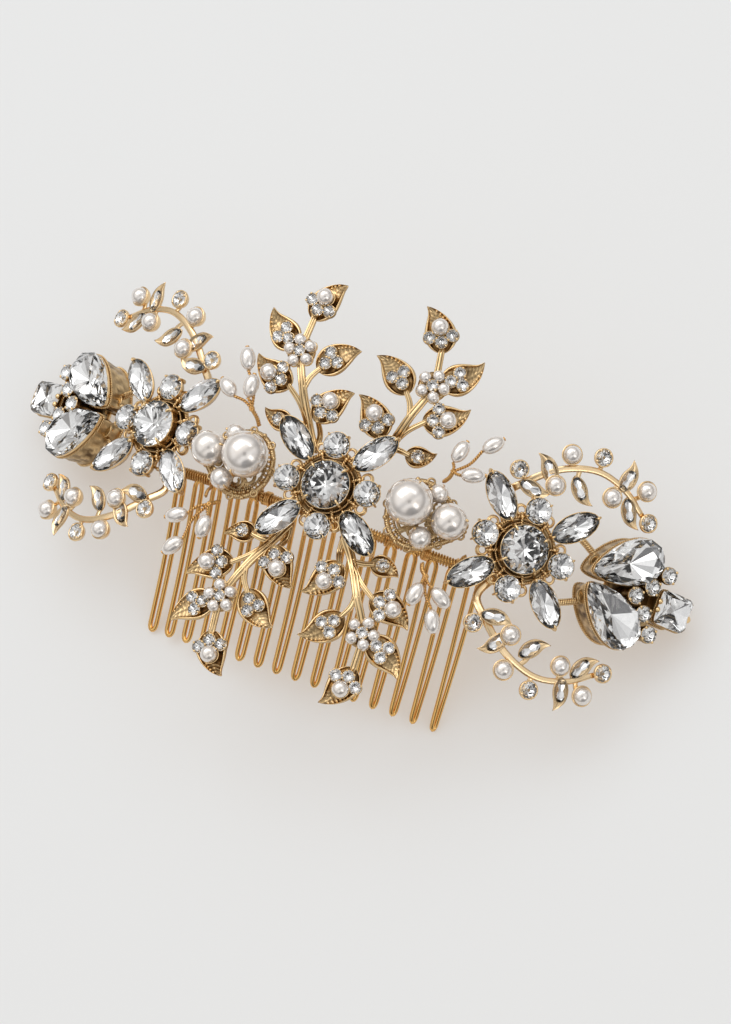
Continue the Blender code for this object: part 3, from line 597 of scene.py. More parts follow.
def coloured(name, values):
    """A finish with constant values set on its shader's own sockets, and the shader's node."""
    material = bpy.data.materials.new(name)
    material.use_nodes = True
    shader = material.node_tree.nodes["Principled BSDF"]
    for socket, value in values.items():
        shader.inputs[socket].default_value = value
    return material, shader


def add_node(material, kind, settings=None, inputs=None):
    """A node with its settings, and each input given a value or another node's output."""
    node = material.node_tree.nodes.new(kind)
    for name, value in (settings or {}).items():
        setattr(node, name, value)
    for key, value in (inputs or {}).items():
        if isinstance(value, bpy.types.NodeSocket):
            material.node_tree.links.new(value, node.inputs[key])
        else:
            node.inputs[key].default_value = value
    return node


def noise(material, scale, detail=3.0, roughness=0.55):
    """Noise on Object coordinates."""
    place = add_node(material, "ShaderNodeTexCoord")
    return add_node(material, "ShaderNodeTexNoise", None,
                    {"Vector": place.outputs["Object"], "Scale": scale, "Detail": detail,
                     "Roughness": roughness}).outputs["Fac"]


def ranged(material, value, low, high, start=0.3, stop=0.7):
    """A value from start to stop spread from low to high."""
    return add_node(material, "ShaderNodeMapRange", None,
                    {"Value": value, "From Min": start, "From Max": stop, "To Min": low,
                     "To Max": high}).outputs["Result"]


def calculated(material, operation, first, second):
    return add_node(material, "ShaderNodeMath", {"operation": operation, "use_clamp": True},
                    {0: first, 1: second}).outputs["Value"]


def mixed(material, share, first, second):
    node = add_node(material, "ShaderNodeMix", {"data_type": "RGBA"}, {0: share})
    for key, value in (("A", first), ("B", second)):
        socket = [item for item in node.inputs if item.name == key and item.type == "RGBA"][0]
        if isinstance(value, bpy.types.NodeSocket):
            material.node_tree.links.new(value, socket)
        else:
            socket.default_value = value
    return [item for item in node.outputs if item.type == "RGBA"][0]


def driven(material, shader, outputs):
    """Links each named input of the shader to another node's output."""
    for name, output in outputs.items():
        material.node_tree.links.new(output, shader.inputs[name])


def bump(material, height, strength, distance):
    return add_node(material, "ShaderNodeBump", None,
                    {"Height": height, "Strength": strength, "Distance": distance}).outputs["Normal"]


def gold_finish(name, polished, tarnish_and_shade_colour, roughness, shade_and_tarnish_depth, grain):
    """Plated metal: the per-point shade-and-tarnish attribute and noise turn polished gold dark in the
    recesses, painted shade there along with tarnish, where it is rougher, with soft patches of tone and a
    fine cast grain."""
    material, shader = coloured(name, {"Metallic": 1.0, "Specular IOR Level": 0.5})
    shade_and_tarnish = add_node(material, "ShaderNodeAttribute", {"attribute_name": "shade_and_tarnish"}).outputs["Fac"]
    patches = noise(material, 260.0)
    grains = noise(material, grain, 2.0)
    dark = calculated(material, "MULTIPLY", shade_and_tarnish, ranged(material, patches, 0.7, 1.25))
    dark = calculated(material, "MULTIPLY", dark, shade_and_tarnish_depth)
    tone = mixed(material, ranged(material, patches, 0.0, 0.35), polished,
                 (polished[0] * 0.9, polished[1] * 0.8, polished[2] * 0.66, 1))
    rough = calculated(material, "ADD", ranged(material, grains, roughness * 0.75, roughness * 1.35),
                       calculated(material, "MULTIPLY", dark, 0.22))
    driven(material, shader, {"Base Color": mixed(material, dark, tone, tarnish_and_shade_colour), "Roughness": rough,
                              "Normal": bump(material, grains, 0.25, 0.00003)})
    return material


def pearl_finish(name, colour):
    """Pearl: a pale body under a bright, slightly uneven lustre with a clear coat."""
    material, shader = coloured(name, {"Metallic": 0.68, "IOR": 1.7, "Coat Weight": 0.8,
                                       "Coat Roughness": 0.06, "Coat IOR": 1.6})
    clouds = noise(material, 420.0, 4.0)
    warm = (colour[0], colour[1] * 0.965, colour[2] * 0.92, 1)
    driven(material, shader, {
        "Base Color": mixed(material, ranged(material, clouds, 0.0, 1.0), colour, warm),
        "Roughness": ranged(material, noise(material, 900.0), 0.2, 0.26),
        "Normal": bump(material, noise(material, 260.0), 0.03, 0.00004)})
    return material


def crystal_finish(name):
    """Clear cut glass with faint smears on its facets."""
    material, shader = coloured(name, {"Transmission Weight": 1.0, "IOR": 1.58})
    smears = noise(material, 700.0, 2.0)
    driven(material, shader, {"Roughness": ranged(material, smears, 0.0, 0.025),
                              "Base Color": mixed(material, smears, (1, 1, 1, 1), (0.97, 0.97, 0.965, 1))})
    return material


def foil_finish(name):
    """Silver foil behind the stones, a little uneven."""
    material, shader = coloured(name, {"Metallic": 1.0})
    patches = noise(material, 800.0, 2.0)
    driven(material, shader, {
        "Roughness": ranged(material, patches, 0.03, 0.1),
        "Base Color": mixed(material, patches, (0.94, 0.935, 0.93, 1), (0.84, 0.84, 0.84, 1))})
    return material


def floor_finish(name, colour, painted_glow):
    """Matt paper with a barely visible fibre, and a painted warm glow, an emission that lightens and warms
    its shadows.
    """
    material, shader = coloured(name, {"Specular IOR Level": 0.15, "Roughness": 0.9,
                                       "Emission Color": painted_glow, "Emission Strength": 1.0})
    fibre = noise(material, 900.0, 5.0)
    pale = tuple(min(value * 1.01, 1) for value in colour[:3])
    driven(material, shader, {"Base Color": mixed(material, fibre, colour, (*pale, 1))})
    return material


# Each plated metal: its colour on the panel, roughness, depth of its painted recess shade and tarnish, and
# scale of its grain
GOLDS = {"cast_gold": ("cast_gold", 0.15, 1.0, 5200.0),
         "satin_leaf_gold": ("satin_gold", 0.2, 0.7, 4200.0),
         "drawn_wire_gold": ("wire_gold", 0.12, 0.7, 6000.0),
         "binding_wire_gold": ("binding_gold", 0.22, 0.85, 6000.0)}


def finish_called(name):
    """The finish of that name, made the first time it is asked for from the panel's colours."""
    if name in bpy.data.materials:
        return bpy.data.materials[name]
    tints = bpy.context.scene.comb_colours
    if name in GOLDS:
        tint, *settings = GOLDS[name]
        return gold_finish(name, (*getattr(tints, tint), 1), (*tints.tarnish_and_shade_tint, 1), *settings)
    if name == "pearl_lustre":
        return pearl_finish(name, (*tints.pearl, 1))
    if name == "studio_paper":
        return floor_finish(name, (*tints.floor, 1), (*tints.floor_painted_glow, 1))
    return {"clear_crystal": crystal_finish, "silver_foil": foil_finish}[name](name)


def make_piece(name, skins, finishes, nodes=()):
    """Joins the skins into one mesh at the origin, outward faces recalculated, that rides on the comb."""
    skin = joined(skins)
    mesh = bpy.data.meshes.new(name)
    faces = [face[:3] if face[3] < 0 else face for face in skin.faces.tolist()]
    mesh.from_pydata(skin.points * MM, [], faces)
    mesh.polygons.foreach_set("material_index", skin.finish.astype(np.int32))
    mesh.polygons.foreach_set("use_smooth", skin.smooth)
    # Per-point darkness read by the gold finishes: painted shade in the recesses along with tarnish
    shade_and_tarnish = mesh.attributes.new("shade_and_tarnish", "FLOAT", "POINT")
    shade_and_tarnish.data.foreach_set("value", skin.shade_and_tarnish.astype(np.float32))
    shape = bmesh.new()
    shape.from_mesh(mesh)
    bmesh.ops.recalc_face_normals(shape, faces=shape.faces)
    shape.to_mesh(mesh)
    shape.free()
    piece = bpy.data.objects.new(name, mesh)
    bpy.context.scene.collection.objects.link(piece)
    for finish in finishes:
        mesh.materials.append(finish_called(finish))
    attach(piece, "root")
    if nodes:
        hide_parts(*nodes)
    return piece


STONE_FINISHES = ("clear_crystal", "silver_foil")


# Comb


def tooth_path(place, steps=9):
    """One hairpin: two legs that drop by a share of the run with a bow of sin(pi share), joined by half
    ellipses at the tip and round the bar."""
    share = place / (TOOTH_COUNT - 1)
    offset = (place - (TOOTH_COUNT - 1) / 2) * TOOTH_PITCH
    angle = asin(offset / (ARCH_RADIUS + BAR_HEIGHT))
    lean = angle * TOOTH_FAN
    inward = np.array([-sin(lean), 0, -cos(lean)])
    sideways = np.array([cos(lean), 0, -sin(lean)])
    reach = ARCH_RADIUS + BAR_HEIGHT
    top = np.array([reach * sin(angle), TOOTH_TOP, reach * cos(angle) - ARCH_RADIUS])
    gaps = [first + (last - first) * share for first, last in (TOP_GAP, TIP_GAP)]
    twist = TIP_TWIST[0] + (TIP_TWIST[1] - TIP_TWIST[0]) * share
    bend = np.linspace(0, pi, steps)
    straight = np.linspace(0.055, 0.955, 14)[1:-1]
    down = np.concatenate([straight, 0.955 + 0.045 * np.sin(bend), straight[::-1],
                           0.055 - 0.055 * np.sin(bend)])
    hand = np.concatenate([-np.ones(12), -np.cos(bend), np.ones(12), np.cos(bend)])
    gap = gaps[0] + (gaps[1] - gaps[0]) * down
    turn = twist * down
    across = sideways * np.cos(turn)[:, None] + inward * np.sin(turn)[:, None]
    drop = TOOTH_DROP * down + TOOTH_BOW * np.sin(pi * down)
    path = top + np.outer(-TOOTH_RUN * down, (0, 1, 0)) + inward * drop[:, None]
    path = path + across * (gap / 2 * hand)[:, None]
    return path @ REST[:3, :3].T + REST[:3, 3]


def bar_path(reach, count, coil=0.0, turns=0.0):
    """The bar's line along the arch, or a coil about it: angle 2 pi turns times the share passed."""
    share = np.linspace(0, 1, count)
    angle = 2 * pi * turns * share
    return on_arch((share * 2 - 1) * reach, BAR_ACROSS + coil * np.cos(angle),
                   BAR_HEIGHT + coil * np.sin(angle))


def comb_reach(teeth):
    return asin(teeth / 2 * TOOTH_PITCH / (ARCH_RADIUS + BAR_HEIGHT)) * ARCH_RADIUS


class COMB_OT_teeth(bpy.types.Operator):
    """Make the bar and the hairpin teeth"""

    bl_idname = "comb.teeth"
    bl_label = "Teeth and bar"

    def execute(self, context):
        skins = [wire(tooth_path(place), TOOTH_WIRE, sides=12, closed=True) for place in range(TOOTH_COUNT)]
        reach = comb_reach(TOOTH_COUNT)
        path = bar_path(reach, 80)
        ends = np.minimum(1, 0.35 + 6 * np.minimum(np.linspace(0, 1, 80), np.linspace(1, 0, 80)) * 3)
        skins.append(wire(path, BAR_RADIUS * np.sqrt(ends), (0, 1, 0), 14))
        make_piece("comb_teeth", skins, ("drawn_wire_gold",), ("comb_wire",))
        return {"FINISHED"}


class COMB_OT_binding(bpy.types.Operator):
    """Wind the binding wire round the bar and tie the ornament down to it"""

    bl_idname = "comb.binding"
    bl_label = "Binding wire"

    def execute(self, context):
        sizes = context.scene.comb_sizes
        reach = comb_reach(TOOTH_COUNT - 0.7)
        turns = sizes.binding_turns * TOOTH_COUNT
        coil = bar_path(reach, int(turns * 9), BAR_RADIUS + 0.22, turns)
        skins = [wire(coil, 0.2, arch_normal(np.linspace(-reach, reach, len(coil))), 5, shade_and_tarnish=0.35)]
        for along, across, height, lean in ((-25.5, -9.6, 1.2, 1.4), (-14.0, -2.6, -0.2, -1.0),
                                            (-7.6, -6.3, 0.2, 0.8), (8.0, -6.4, 0.0, -0.9),
                                            (15.4, -6.0, 0.2, 1.1), (22.6, -5.4, 0.2, -0.6),
                                            (30.5, -3.6, 0.0, 0.5)):
            knots = on_arch(np.array([along + lean, along, along - 0.4 * lean, along - 0.8 * lean]),
                            np.array([across, across * 0.6 + BAR_ACROSS * 0.4, BAR_ACROSS - 1.2, BAR_ACROSS]),
                            np.array([height, -1.2, BAR_HEIGHT + 0.6, BAR_HEIGHT - 1.0]))
            skins.append(rope(curved(knots, 8), (1, 0, 0), 0.36, 1.3))
            ring = turn_matrix(pi / 2, "Y")
            for step in range(3):
                place = arch_frame(along - 0.8 * lean + 0.42 * step, BAR_ACROSS, BAR_HEIGHT) @ ring
                loop = raised(circle(20, BAR_RADIUS + 0.5))
                skins.append(wire(loop, 0.24, sides=6, closed=True, shade_and_tarnish=0.2).at(place))
        make_piece("binding_wire", skins, ("binding_wire_gold",), ("lashing_wire",))
        return {"FINISHED"}


# Flowers


def loop_ring(radius, thickness, height=0.0, sides=20):
    """A ring of round wire lying flat."""
    return wire(raised(circle(sides, radius), height), thickness, sides=7, closed=True, shade_and_tarnish=0.12)


def flower_setting():
    """One flower's casting in its own plane: a roped plate, a cup with claws under each stone, spokes and
    small rings between the petals."""
    plate = circle(48, 1.0)
    profile = [(5.2, 0, 0.0), (6.6, 0, 0.05), (7.0, 0, 0.35), (7.1, 0, 0.75), (6.6, 0, 1.05), (6.1, 0, 0.85),
               (5.3, 0, 0.75), (4.6, 0, 0.9)]
    # The plate is darker at its foot and in its hollow: painted shade along with tarnish
    skins = [turned(plate, profile, np.array([0.9, 0.7, 0.3, 0.2, 0.15, 0.9, 1.0, 1.0]))]
    for reach, height, radius, pitch in ((6.75, 1.05, 0.42, 1.1), (5.5, 1.35, 0.26, 0.8)):
        skins.append(rope(raised(circle(60, reach), height), (0, 0, 1), radius, pitch, True))
    girdle = STONE_FLOOR + CENTRE_CUT[1]
    skins.append(cup(circle(48, CENTRE_STONE_RADIUS), 0.6, girdle, foot=0.78, lip=0.03, wall=0.2))
    claw = prong(CENTRE_STONE_RADIUS, 1.0, girdle, 0.46, 0.9)
    skins.append(claw.at(*[polar(degrees, 0) for degrees in PETALS.values()]))

    girdle = STONE_FLOOR + NAVETTE_CUT[1]
    seat = cup(navette(40, NAVETTE_LENGTH, NAVETTE_WIDTH), 0.1, girdle, foot=0.62, lip=0.08)
    tips = prong(NAVETTE_LENGTH / 2, 0.6, girdle, 0.42, 0.6)
    petal = joined([seat, tips.at(np.eye(4), turn_matrix(pi, "Z"))])
    skins.append(petal.at(*[polar(degrees, NAVETTE_REACH) for degrees in PETALS.values()]))

    girdle = STONE_FLOOR + ROUND_CUT[1]
    seat = cup(circle(28, ROUND_RADIUS), 0.1, girdle, foot=0.66, lip=0.07)
    claw = prong(ROUND_RADIUS, 0.5, girdle, 0.32, 0.35)
    button = joined([seat, claw.at(*[turn_matrix(pi / 4 + pi / 2 * k, "Z") for k in range(4)])])
    skins.append(button.at(*[polar(degrees, ROUND_REACH) for degrees in ROUNDS.values()]))

    ringlet = joined([loop_ring(0.95, 0.3, 0.9), loop_ring(1.15, 0.24, 0.35)])
    skins.append(ringlet.at(*[polar(22.5 + 45 * k, 8.15) for k in range(8)]))
    bead = ball(0.42, 10, 6)
    skins.append(bead.at(*[polar(22.5 + 45 * k, 6.7, 1.7) for k in range(8)]))
    spoke = rope(np.array([(4.6, 0, 1.3), (6.6, 0, 1.6), (7.6, 0, 1.5)]), (0, 0, 1), 0.4, 1.0)
    skins.append(spoke.at(*[polar(22.5 + 45 * k, 0) for k in range(8)]))
    return joined(skins)


def flower_stones():
    """One flower's nine cut stones in its own plane."""
    lift = shift_matrix(0, 0, STONE_FLOOR)
    skins = [brilliant(circle(16, CENTRE_STONE_RADIUS), *CENTRE_CUT, lower=0.45).at(lift)]
    petal = brilliant(navette(16, NAVETTE_LENGTH, NAVETTE_WIDTH), *NAVETTE_CUT, table=0.5, star=0.76)
    skins.append(petal.at(*[polar(degrees, NAVETTE_REACH) @ lift for degrees in PETALS.values()]))
    button = brilliant(circle(16, ROUND_RADIUS), *ROUND_CUT, table=0.48, lower=0.4)
    skins.append(button.at(*[polar(degrees, ROUND_REACH) @ lift for degrees in ROUNDS.values()]))
    return joined(skins)


class COMB_OT_flowers(bpy.types.Operator):
    """Cast the three flowers and set their stones"""

    bl_idname = "comb.flowers"
    bl_label = "Flowers"

    def execute(self, context):
        setting, stones = flower_setting(), flower_stones()
        for name, (along, across, turn) in FLOWERS.items():
            place = arch_frame(along, across, 0, turn)
            make_piece(f"flower_setting_{name}", [setting.at(place)], ("cast_gold",),
                       (f"flower_plate_{name}",))
            nodes = [f"centre_stone_{name}"]
            nodes += [f"navette_{name}_{petal}" for petal in PETALS]
            nodes += [f"round_{name}_{spot}" for spot in ROUNDS]
            make_piece(f"flower_stones_{name}", [stones.at(place)], STONE_FINISHES, nodes)
        return {"FINISHED"}


# Leaf sprays


def leaf_shape(size, curl, rows=46):
    """A cast leaf with a raised rim: across it is v = -1 to 1 over the half width h(u), sin(pi u) weighted
    to the base; the rim is a bump near |v| = 0.86, the inside is dished with herringbone veins towards the
    tip, and the tip rises and curls to one side with u^4. A row of grains follows the rim on the side away
    from the curl."""
    length, width = size
    u = np.linspace(0, 1, rows)[:, None]
    top = np.concatenate([np.linspace(-1, -0.68, 7), np.linspace(-0.56, 0.56, 9), np.linspace(0.68, 1, 7)])
    under = np.linspace(0.94, -0.94, 7)
    v = np.concatenate([top, under])[None, :]
    is_top = (np.arange(v.shape[1]) < len(top))[None, :]
    half = width / 2 * np.sin(pi * u**0.82) ** 0.72 * (1.1 - 0.3 * u)
    full = np.clip(half / (width * 0.3), 0, 1)
    edge = np.exp(-((np.abs(v) - 0.86) / 0.1) ** 2)
    dish = -(0.3 + 0.25 * u) * (1 - v**2) * full
    veins = 0.1 * np.cos(2 * pi * (u * 13 - np.abs(v) * 1.3))
    veins = veins * np.clip(3 * u - 1.6, 0, 1) * (np.abs(v) < 0.75)
    keel = 0.16 * np.exp(-((v / 0.09) ** 2)) * np.clip(3 * u - 1.4, 0, 1)
    upper = 0.28 + dish + (0.42 * edge) * (0.4 + 0.6 * full) + veins * full + keel * full
    lower = -0.5 + 0.22 * v**2 - 0.05 * full
    thick = np.where(np.abs(v) > 0.985, 0.05, np.where(is_top, upper, lower))
    tip = np.clip(u - 0.72, 0, 1) / 0.28
    x = length * (u - 0.5) + 0 * v
    y = half * v + curl * (u**4 + 0.55 * tip**3)
    z = thick * np.clip(0.35 + 2.2 * np.sin(pi * u) ** 0.8, 0, 1) + 0.9 * tip**2 - 0.25 * (1 - u) ** 3
    # Darker in the dished inside, lighter on the rim, veins and keel, mid on the underside: painted shade
    # along with tarnish
    top_shade_and_tarnish = np.clip(0.68 - edge - 0.35 * (veins > 0.03) - 0.3 * (keel > 0.06), 0, 1)
    shade_and_tarnish = np.where(is_top, top_shade_and_tarnish, 0.35)
    points = np.stack([x, y, z], -1)
    blade = pointed(points, shade_and_tarnish + 0 * u)
    outer_bend = LEAF_GRAIN_COLUMNS[0 if curl > 0 else 1]
    grains = points[round(rows * 0.42):round(rows * 0.93):3, outer_bend]
    beading = ball(LEAF_GRAIN_RADIUS, 8, 5).at(*[shift_matrix(*grain) for grain in grains])
    return joined([blade, beading])


def set_stone(radius, rise, seat=0.5):
    """A small stone in a beaded seat: its casting, with four bead claws, and the stone itself."""
    pavilion, crown = radius * 0.45, radius * 0.5
    lift = rise + seat
    casting = [cup(circle(18, radius), rise - 0.3, lift + pavilion, foot=0.8, lip=0.06, wall=0.2)]
    claw = ball(radius * 0.2, 8, 5)
    casting.append(claw.at(*[polar(45 + 90 * k, radius * 0.96, lift + pavilion + 0.15) for k in range(4)]))
    stone = brilliant(circle(16, radius), crown, pavilion, table=0.5, star=0.78, lower=0.4)
    return joined(casting), stone.at(shift_matrix(0, 0, lift))


RIBBED = np.array([(-1.0, -0.35), (-1.0, 0.2), (-0.72, 0.5), (-0.42, 0.22), (-0.12, 0.52), (0.12, 0.52),
                   (0.42, 0.22), (0.72, 0.5), (1.0, 0.2), (1.0, -0.35), (0.4, -0.55), (-0.4, -0.55)])
# Per profile point: dark in the grooves and on the underside, light on the ribs: painted shade along with
# tarnish
RIBBED_SHADE_AND_TARNISH = np.array([0.5, 0.3, 0.0, 0.9, 0.0, 0.0, 0.9, 0.0, 0.3, 0.5, 0.6, 0.6])[None]


def stem(knots, alongs, width, taper=(1.1, 0.75), profile=RIBBED, shade_and_tarnish=RIBBED_SHADE_AND_TARNISH):
    """A ribbed stem along smoothed knots, its face to the arch's outside and its width tapering."""
    path = curved(np.array(knots), 7)
    up = arch_normal(np.interp(np.linspace(0, 1, len(path)), np.linspace(0, 1, len(alongs)), alongs))
    size = np.linspace(*taper, len(path)) * width
    return sweep(path, profile, up, size, shade_and_tarnish=shade_and_tarnish)


def leaf_foot(place, length):
    """The place just inside a leaf where its stem ends."""
    outward, away, degrees = place
    back = length / 2 - 1.0
    return outward - back * cos(radians(degrees)), away - back * sin(radians(degrees))


def spray_parts(quadrant):
    """One spray: its casting, its crystals and its pearls."""
    casting, stones, pearls = [], [], []

    def grow(places, heights, width, taper=(1.1, 0.8)):
        knots = [quadrant.point(*place, height) for place, height in zip(places, heights)]
        alongs = [quadrant.flat(*place)[0] for place in places]
        casting.append(stem(knots, alongs, width, taper))

    def midway(first, last, bow):
        x, y = (first[k] + (last[k] - first[k]) * 0.5 for k in (0, 1))
        dx, dy = last[0] - first[0], last[1] - first[1]
        return x - dy * bow, y + dx * bow

    tip, outer, inner = (leaf_foot(place, LEAF_SIZE[0]) for place in PEARL_LEAVES)
    inner_crystal, outer_crystal = (leaf_foot(place, LEAF_SIZE[0]) for place in CRYSTAL_LEAVES)
    small = leaf_foot(SMALL_LEAF, SMALL_LEAF_SIZE[0])
    low, face = ROOT_HEIGHT, SPRAY_HEIGHT
    grow((STEM_ROOT, SPRAY_ROOT, SPRAY_FORK, SPRAY_FLOWER, tip), (low, low, face, face, face), STEM_WIDTH,
         (1.1, 0.7))
    for start, end, heights, bow in ((SPRAY_ROOT, outer, (low, 0.4, face), 0.06),
                                     (SPRAY_FORK, inner_crystal, (face, face, face), -0.08),
                                     (SPRAY_FLOWER, outer_crystal, (face, face, face), 0.08),
                                     (SPRAY_ROOT, small, (low, -1.1, SMALL_LEAF_HEIGHT), 0.05)):
        grow((start, midway(start, end, bow), end), heights, BRANCH_WIDTH, (1.15, 0.8))
    grow((STEM_ROOT, INNER_ROOT, inner), (low, low, face), BRANCH_WIDTH)

    cast_pave, pave = set_stone(PAVE_RADIUS, 0.0)
    beside = [shift_matrix(x, y, 0) for x, y in BESIDE_PEARL]
    alone = [shift_matrix(x, y, 0) for x, y in WITHOUT_PEARL]
    blade = leaf_shape(LEAF_SIZE, LEAF_CURL * quadrant.side)
    pearl = ball(LEAF_PEARL_RADIUS, 20, 12)
    profile = [(0.6, 0, -0.1), (0.94, 0, 0.2), (1.0, 0.14, 0.75), (1.0, 0.05, 0.95), (0.8, 0, 0.5)]
    # The seat is darker at its foot and inside: painted shade along with tarnish
    seat = turned(circle(20, LEAF_PEARL_RADIUS), profile, np.array([1, 0.7, 0, 0, 1]))
    for outward, away, degrees in PEARL_LEAVES + CRYSTAL_LEAVES:
        frame_here = quadrant.frame(outward, away, SPRAY_HEIGHT, degrees)
        casting.append(blade.at(frame_here))
        pearled = (outward, away, degrees) in PEARL_LEAVES
        places = [frame_here @ place for place in (beside if pearled else alone)]
        casting.append(cast_pave.at(*places))
        stones.append(pave.at(*places))
        if pearled:
            spot = frame_here @ shift_matrix(PEARL_SHIFT, 0, 0)
            casting.append(seat.at(spot))
            pearls.append(pearl.at(spot @ shift_matrix(0, 0, LEAF_PEARL_RADIUS)))

    outward, away, degrees = SMALL_LEAF
    frame_here = quadrant.frame(outward, away, SMALL_LEAF_HEIGHT, degrees)
    casting.append(leaf_shape(SMALL_LEAF_SIZE, LEAF_CURL * 0.7 * quadrant.side, 36).at(frame_here))
    small_cast, small_stone = set_stone(1.35, 0.05)
    casting.append(small_cast.at(frame_here @ shift_matrix(-0.5, 0, 0)))
    stones.append(small_stone.at(frame_here @ shift_matrix(-0.5, 0, 0)))

    frame_here = quadrant.frame(*SPRAY_FLOWER, SPRAY_HEIGHT)
    # The disc is darker underneath and on its inner edge: painted shade along with tarnish
    disc = turned(circle(30, 1.0), [(2.2, 0, -0.5), (3.0, 0, -0.35), (3.1, 0, 0.1), (2.4, 0, 0.3)],
                  np.array([0.8, 0.4, 0.2, 0.9]))
    casting.append(disc.at(frame_here))
    middle_cast, middle_stone = set_stone(1.2, 0.5)
    casting.append(middle_cast.at(frame_here))
    stones.append(middle_stone.at(frame_here))
    radius, reach, height = SPRAY_PETAL
    petals = [frame_here @ polar(72 * k, reach, height) for k in range(5)]
    pearls.append(ball(radius, 18, 10).at(*petals))
    rings = [frame_here @ polar(72 * k, reach, 0.25) for k in range(5)]
    casting.append(loop_ring(1.15, 0.2, 0.0, 16).at(*rings))
    return casting, stones, pearls


class COMB_OT_sprays(bpy.types.Operator):
    """Cast the four leaf sprays, with their crystals and pearls"""

    bl_idname = "comb.sprays"
    bl_label = "Leaf sprays"

    def execute(self, context):
        stones, pearls = [], []
        for name, (mirror_along, mirror_across, outward, away, turn) in SPRAY_SHIFTS.items():
            quadrant = Quadrant(mirror_along, mirror_across, (outward, away), turn, SPRAY_ROOT)
            casting, its_stones, its_pearls = spray_parts(quadrant)
            make_piece(f"spray_casting_{name}", casting, ("cast_gold",),
                       (f"leaf_spray_{name}",))
            stones += its_stones
            pearls += its_pearls
        make_piece("spray_crystals", stones, STONE_FINISHES)
        make_piece("spray_pearls", pearls, ("pearl_lustre",))
        return {"FINISHED"}


# Vines


STRAP = np.array([(-1.0, -0.28), (-1.0, 0.26), (-0.86, 0.42), (-0.3, 0.5), (0.3, 0.5), (0.86, 0.42),
                  (1.0, 0.26), (1.0, -0.28), (0.6, -0.5), (-0.6, -0.5)])
# Darker on the strap's sides and underside, light on its face: painted shade along with tarnish
STRAP_SHADE_AND_TARNISH = np.array([0.5, 0.2, 0.05, 0.0, 0.0, 0.05, 0.2, 0.5, 0.6, 0.6])[None]


def vine_leaf(size, curl):
    """A small leaf cup: a boat that tapers to a hooked tip; half width sin(pi u)^0.8, its tip lifting and
    curling to one side past two thirds of its length."""
    length, width = size
    rows = 22
    u = np.linspace(0, 1, rows)[:, None]
    angle = (2 * pi * np.arange(16) / 16)[None]
    half = width / 2 * np.sin(pi * u**0.8) ** 0.8
    v, w = np.cos(angle), np.sin(angle)
    rim = np.clip(half / width * 3, 0, 1)
    z = np.where(w > 0, 0.5 - 0.42 * (1 - v**2) ** 2, -0.55 * np.abs(w)) * rim
    tip = np.clip(u - 0.62, 0, 1) / 0.38
    points = np.stack([length * (u - 0.5) + 0 * angle, half * v + curl * tip**2.4, z + 0.5 * tip**2], -1)
    # Darker inside the cup towards its base, lighter towards the tip and underneath: painted shade along with
    # tarnish
    return pointed(points, np.where(w > 0.3, 0.5 * (1 - tip), 0.15))


def vine_parts(quadrant):
    """One vine: its strap and twigs with their cups, its crystals and its pearls."""
    knots = [quadrant.point(outward, away, VINE_HEIGHT + rise) for outward, away, rise in VINE_STEM]
    alongs = [quadrant.flat(outward, away)[0] for outward, away, _ in VINE_STEM]
    knots.insert(0, quadrant.point(*VINE_ROOT, ROOT_HEIGHT))
    alongs.insert(0, quadrant.flat(*VINE_ROOT)[0])
    path = curved(np.array(knots), 8)
    casting = [stem(knots, alongs, 0.8, (1.15, 0.7), STRAP, STRAP_SHADE_AND_TARNISH)]
    stones, pearls = [], []

    def twig(place):
        middle = quadrant.point(*place[:2], VINE_HEIGHT)
        start = path[np.linalg.norm(path - middle, axis=1).argmin()]
        bow = (start + middle) / 2 + np.cross(middle - start, quadrant.normal(*place[:2])) * 0.12
        up = quadrant.normal(*place[:2])
        end = middle - up * TWIG_SINK
        casting.append(sweep(curved([start, bow - up * 0.2, end], 6), STRAP, up, 0.5, shade_and_tarnish=STRAP_SHADE_AND_TARNISH))

    # Bowls and collars are darker inside: painted shade along with tarnish
    bowl = turned(circle(28, VINE_PEARL_RADIUS), [(0.45, 0, -1.0), (0.8, 0, -0.72), (1.0, 0.04, -0.1),
                                                  (1.0, 0.3, 0.75), (1.0, 0.3, 1.0), (1.0, 0.06, 1.0),
                                                  (0.93, 0, 0.3), (0.5, 0, -0.5)],
                  np.array([0.3, 0.2, 0.1, 0, 0, 0.1, 0.8, 1]))
    for place in VINE_PEARLS:
        twig(place)
        spot = quadrant.frame(*place, VINE_HEIGHT)
        casting.append(bowl.at(spot))
        pearls.append(ball(VINE_PEARL_RADIUS, 24, 14).at(spot @ shift_matrix(0, 0, VINE_PEARL_RADIUS * 0.5)))
    setting, stone = set_stone(VINE_ROUND_RADIUS, -0.3, 0.35)
    collar = turned(circle(28, VINE_ROUND_RADIUS), [(0.6, 0, -0.75), (0.95, 0, -0.5), (1.0, 0.3, 0.3),
                                                    (1.0, 0.28, 0.95), (1.0, 0.06, 0.98), (0.9, 0, 0.2)],
                    np.array([0.4, 0.3, 0.1, 0, 0, 0.9]))
    for place in VINE_ROUNDS:
        twig(place)
        spot = quadrant.frame(*place, VINE_HEIGHT)
        casting.append(joined([setting, collar]).at(spot))
        stones.append(stone.at(spot))
    blade = vine_leaf((VINE_LEAF_SIZE[0] + 1.3, VINE_LEAF_SIZE[1] + 0.6), 1.5 * quadrant.side)
    chip = brilliant(navette(16, VINE_LEAF_SIZE[0] * 0.84, VINE_LEAF_SIZE[1] * 0.98), 0.5, 0.18, table=0.66)
    for place in VINE_LEAVES:
        twig(place)
        spot = quadrant.frame(*place[:2], VINE_HEIGHT, place[2])
        casting.append(blade.at(spot))
        stones.append(chip.at(spot @ shift_matrix(-0.75, 0, 0.1)))
    return casting, stones, pearls


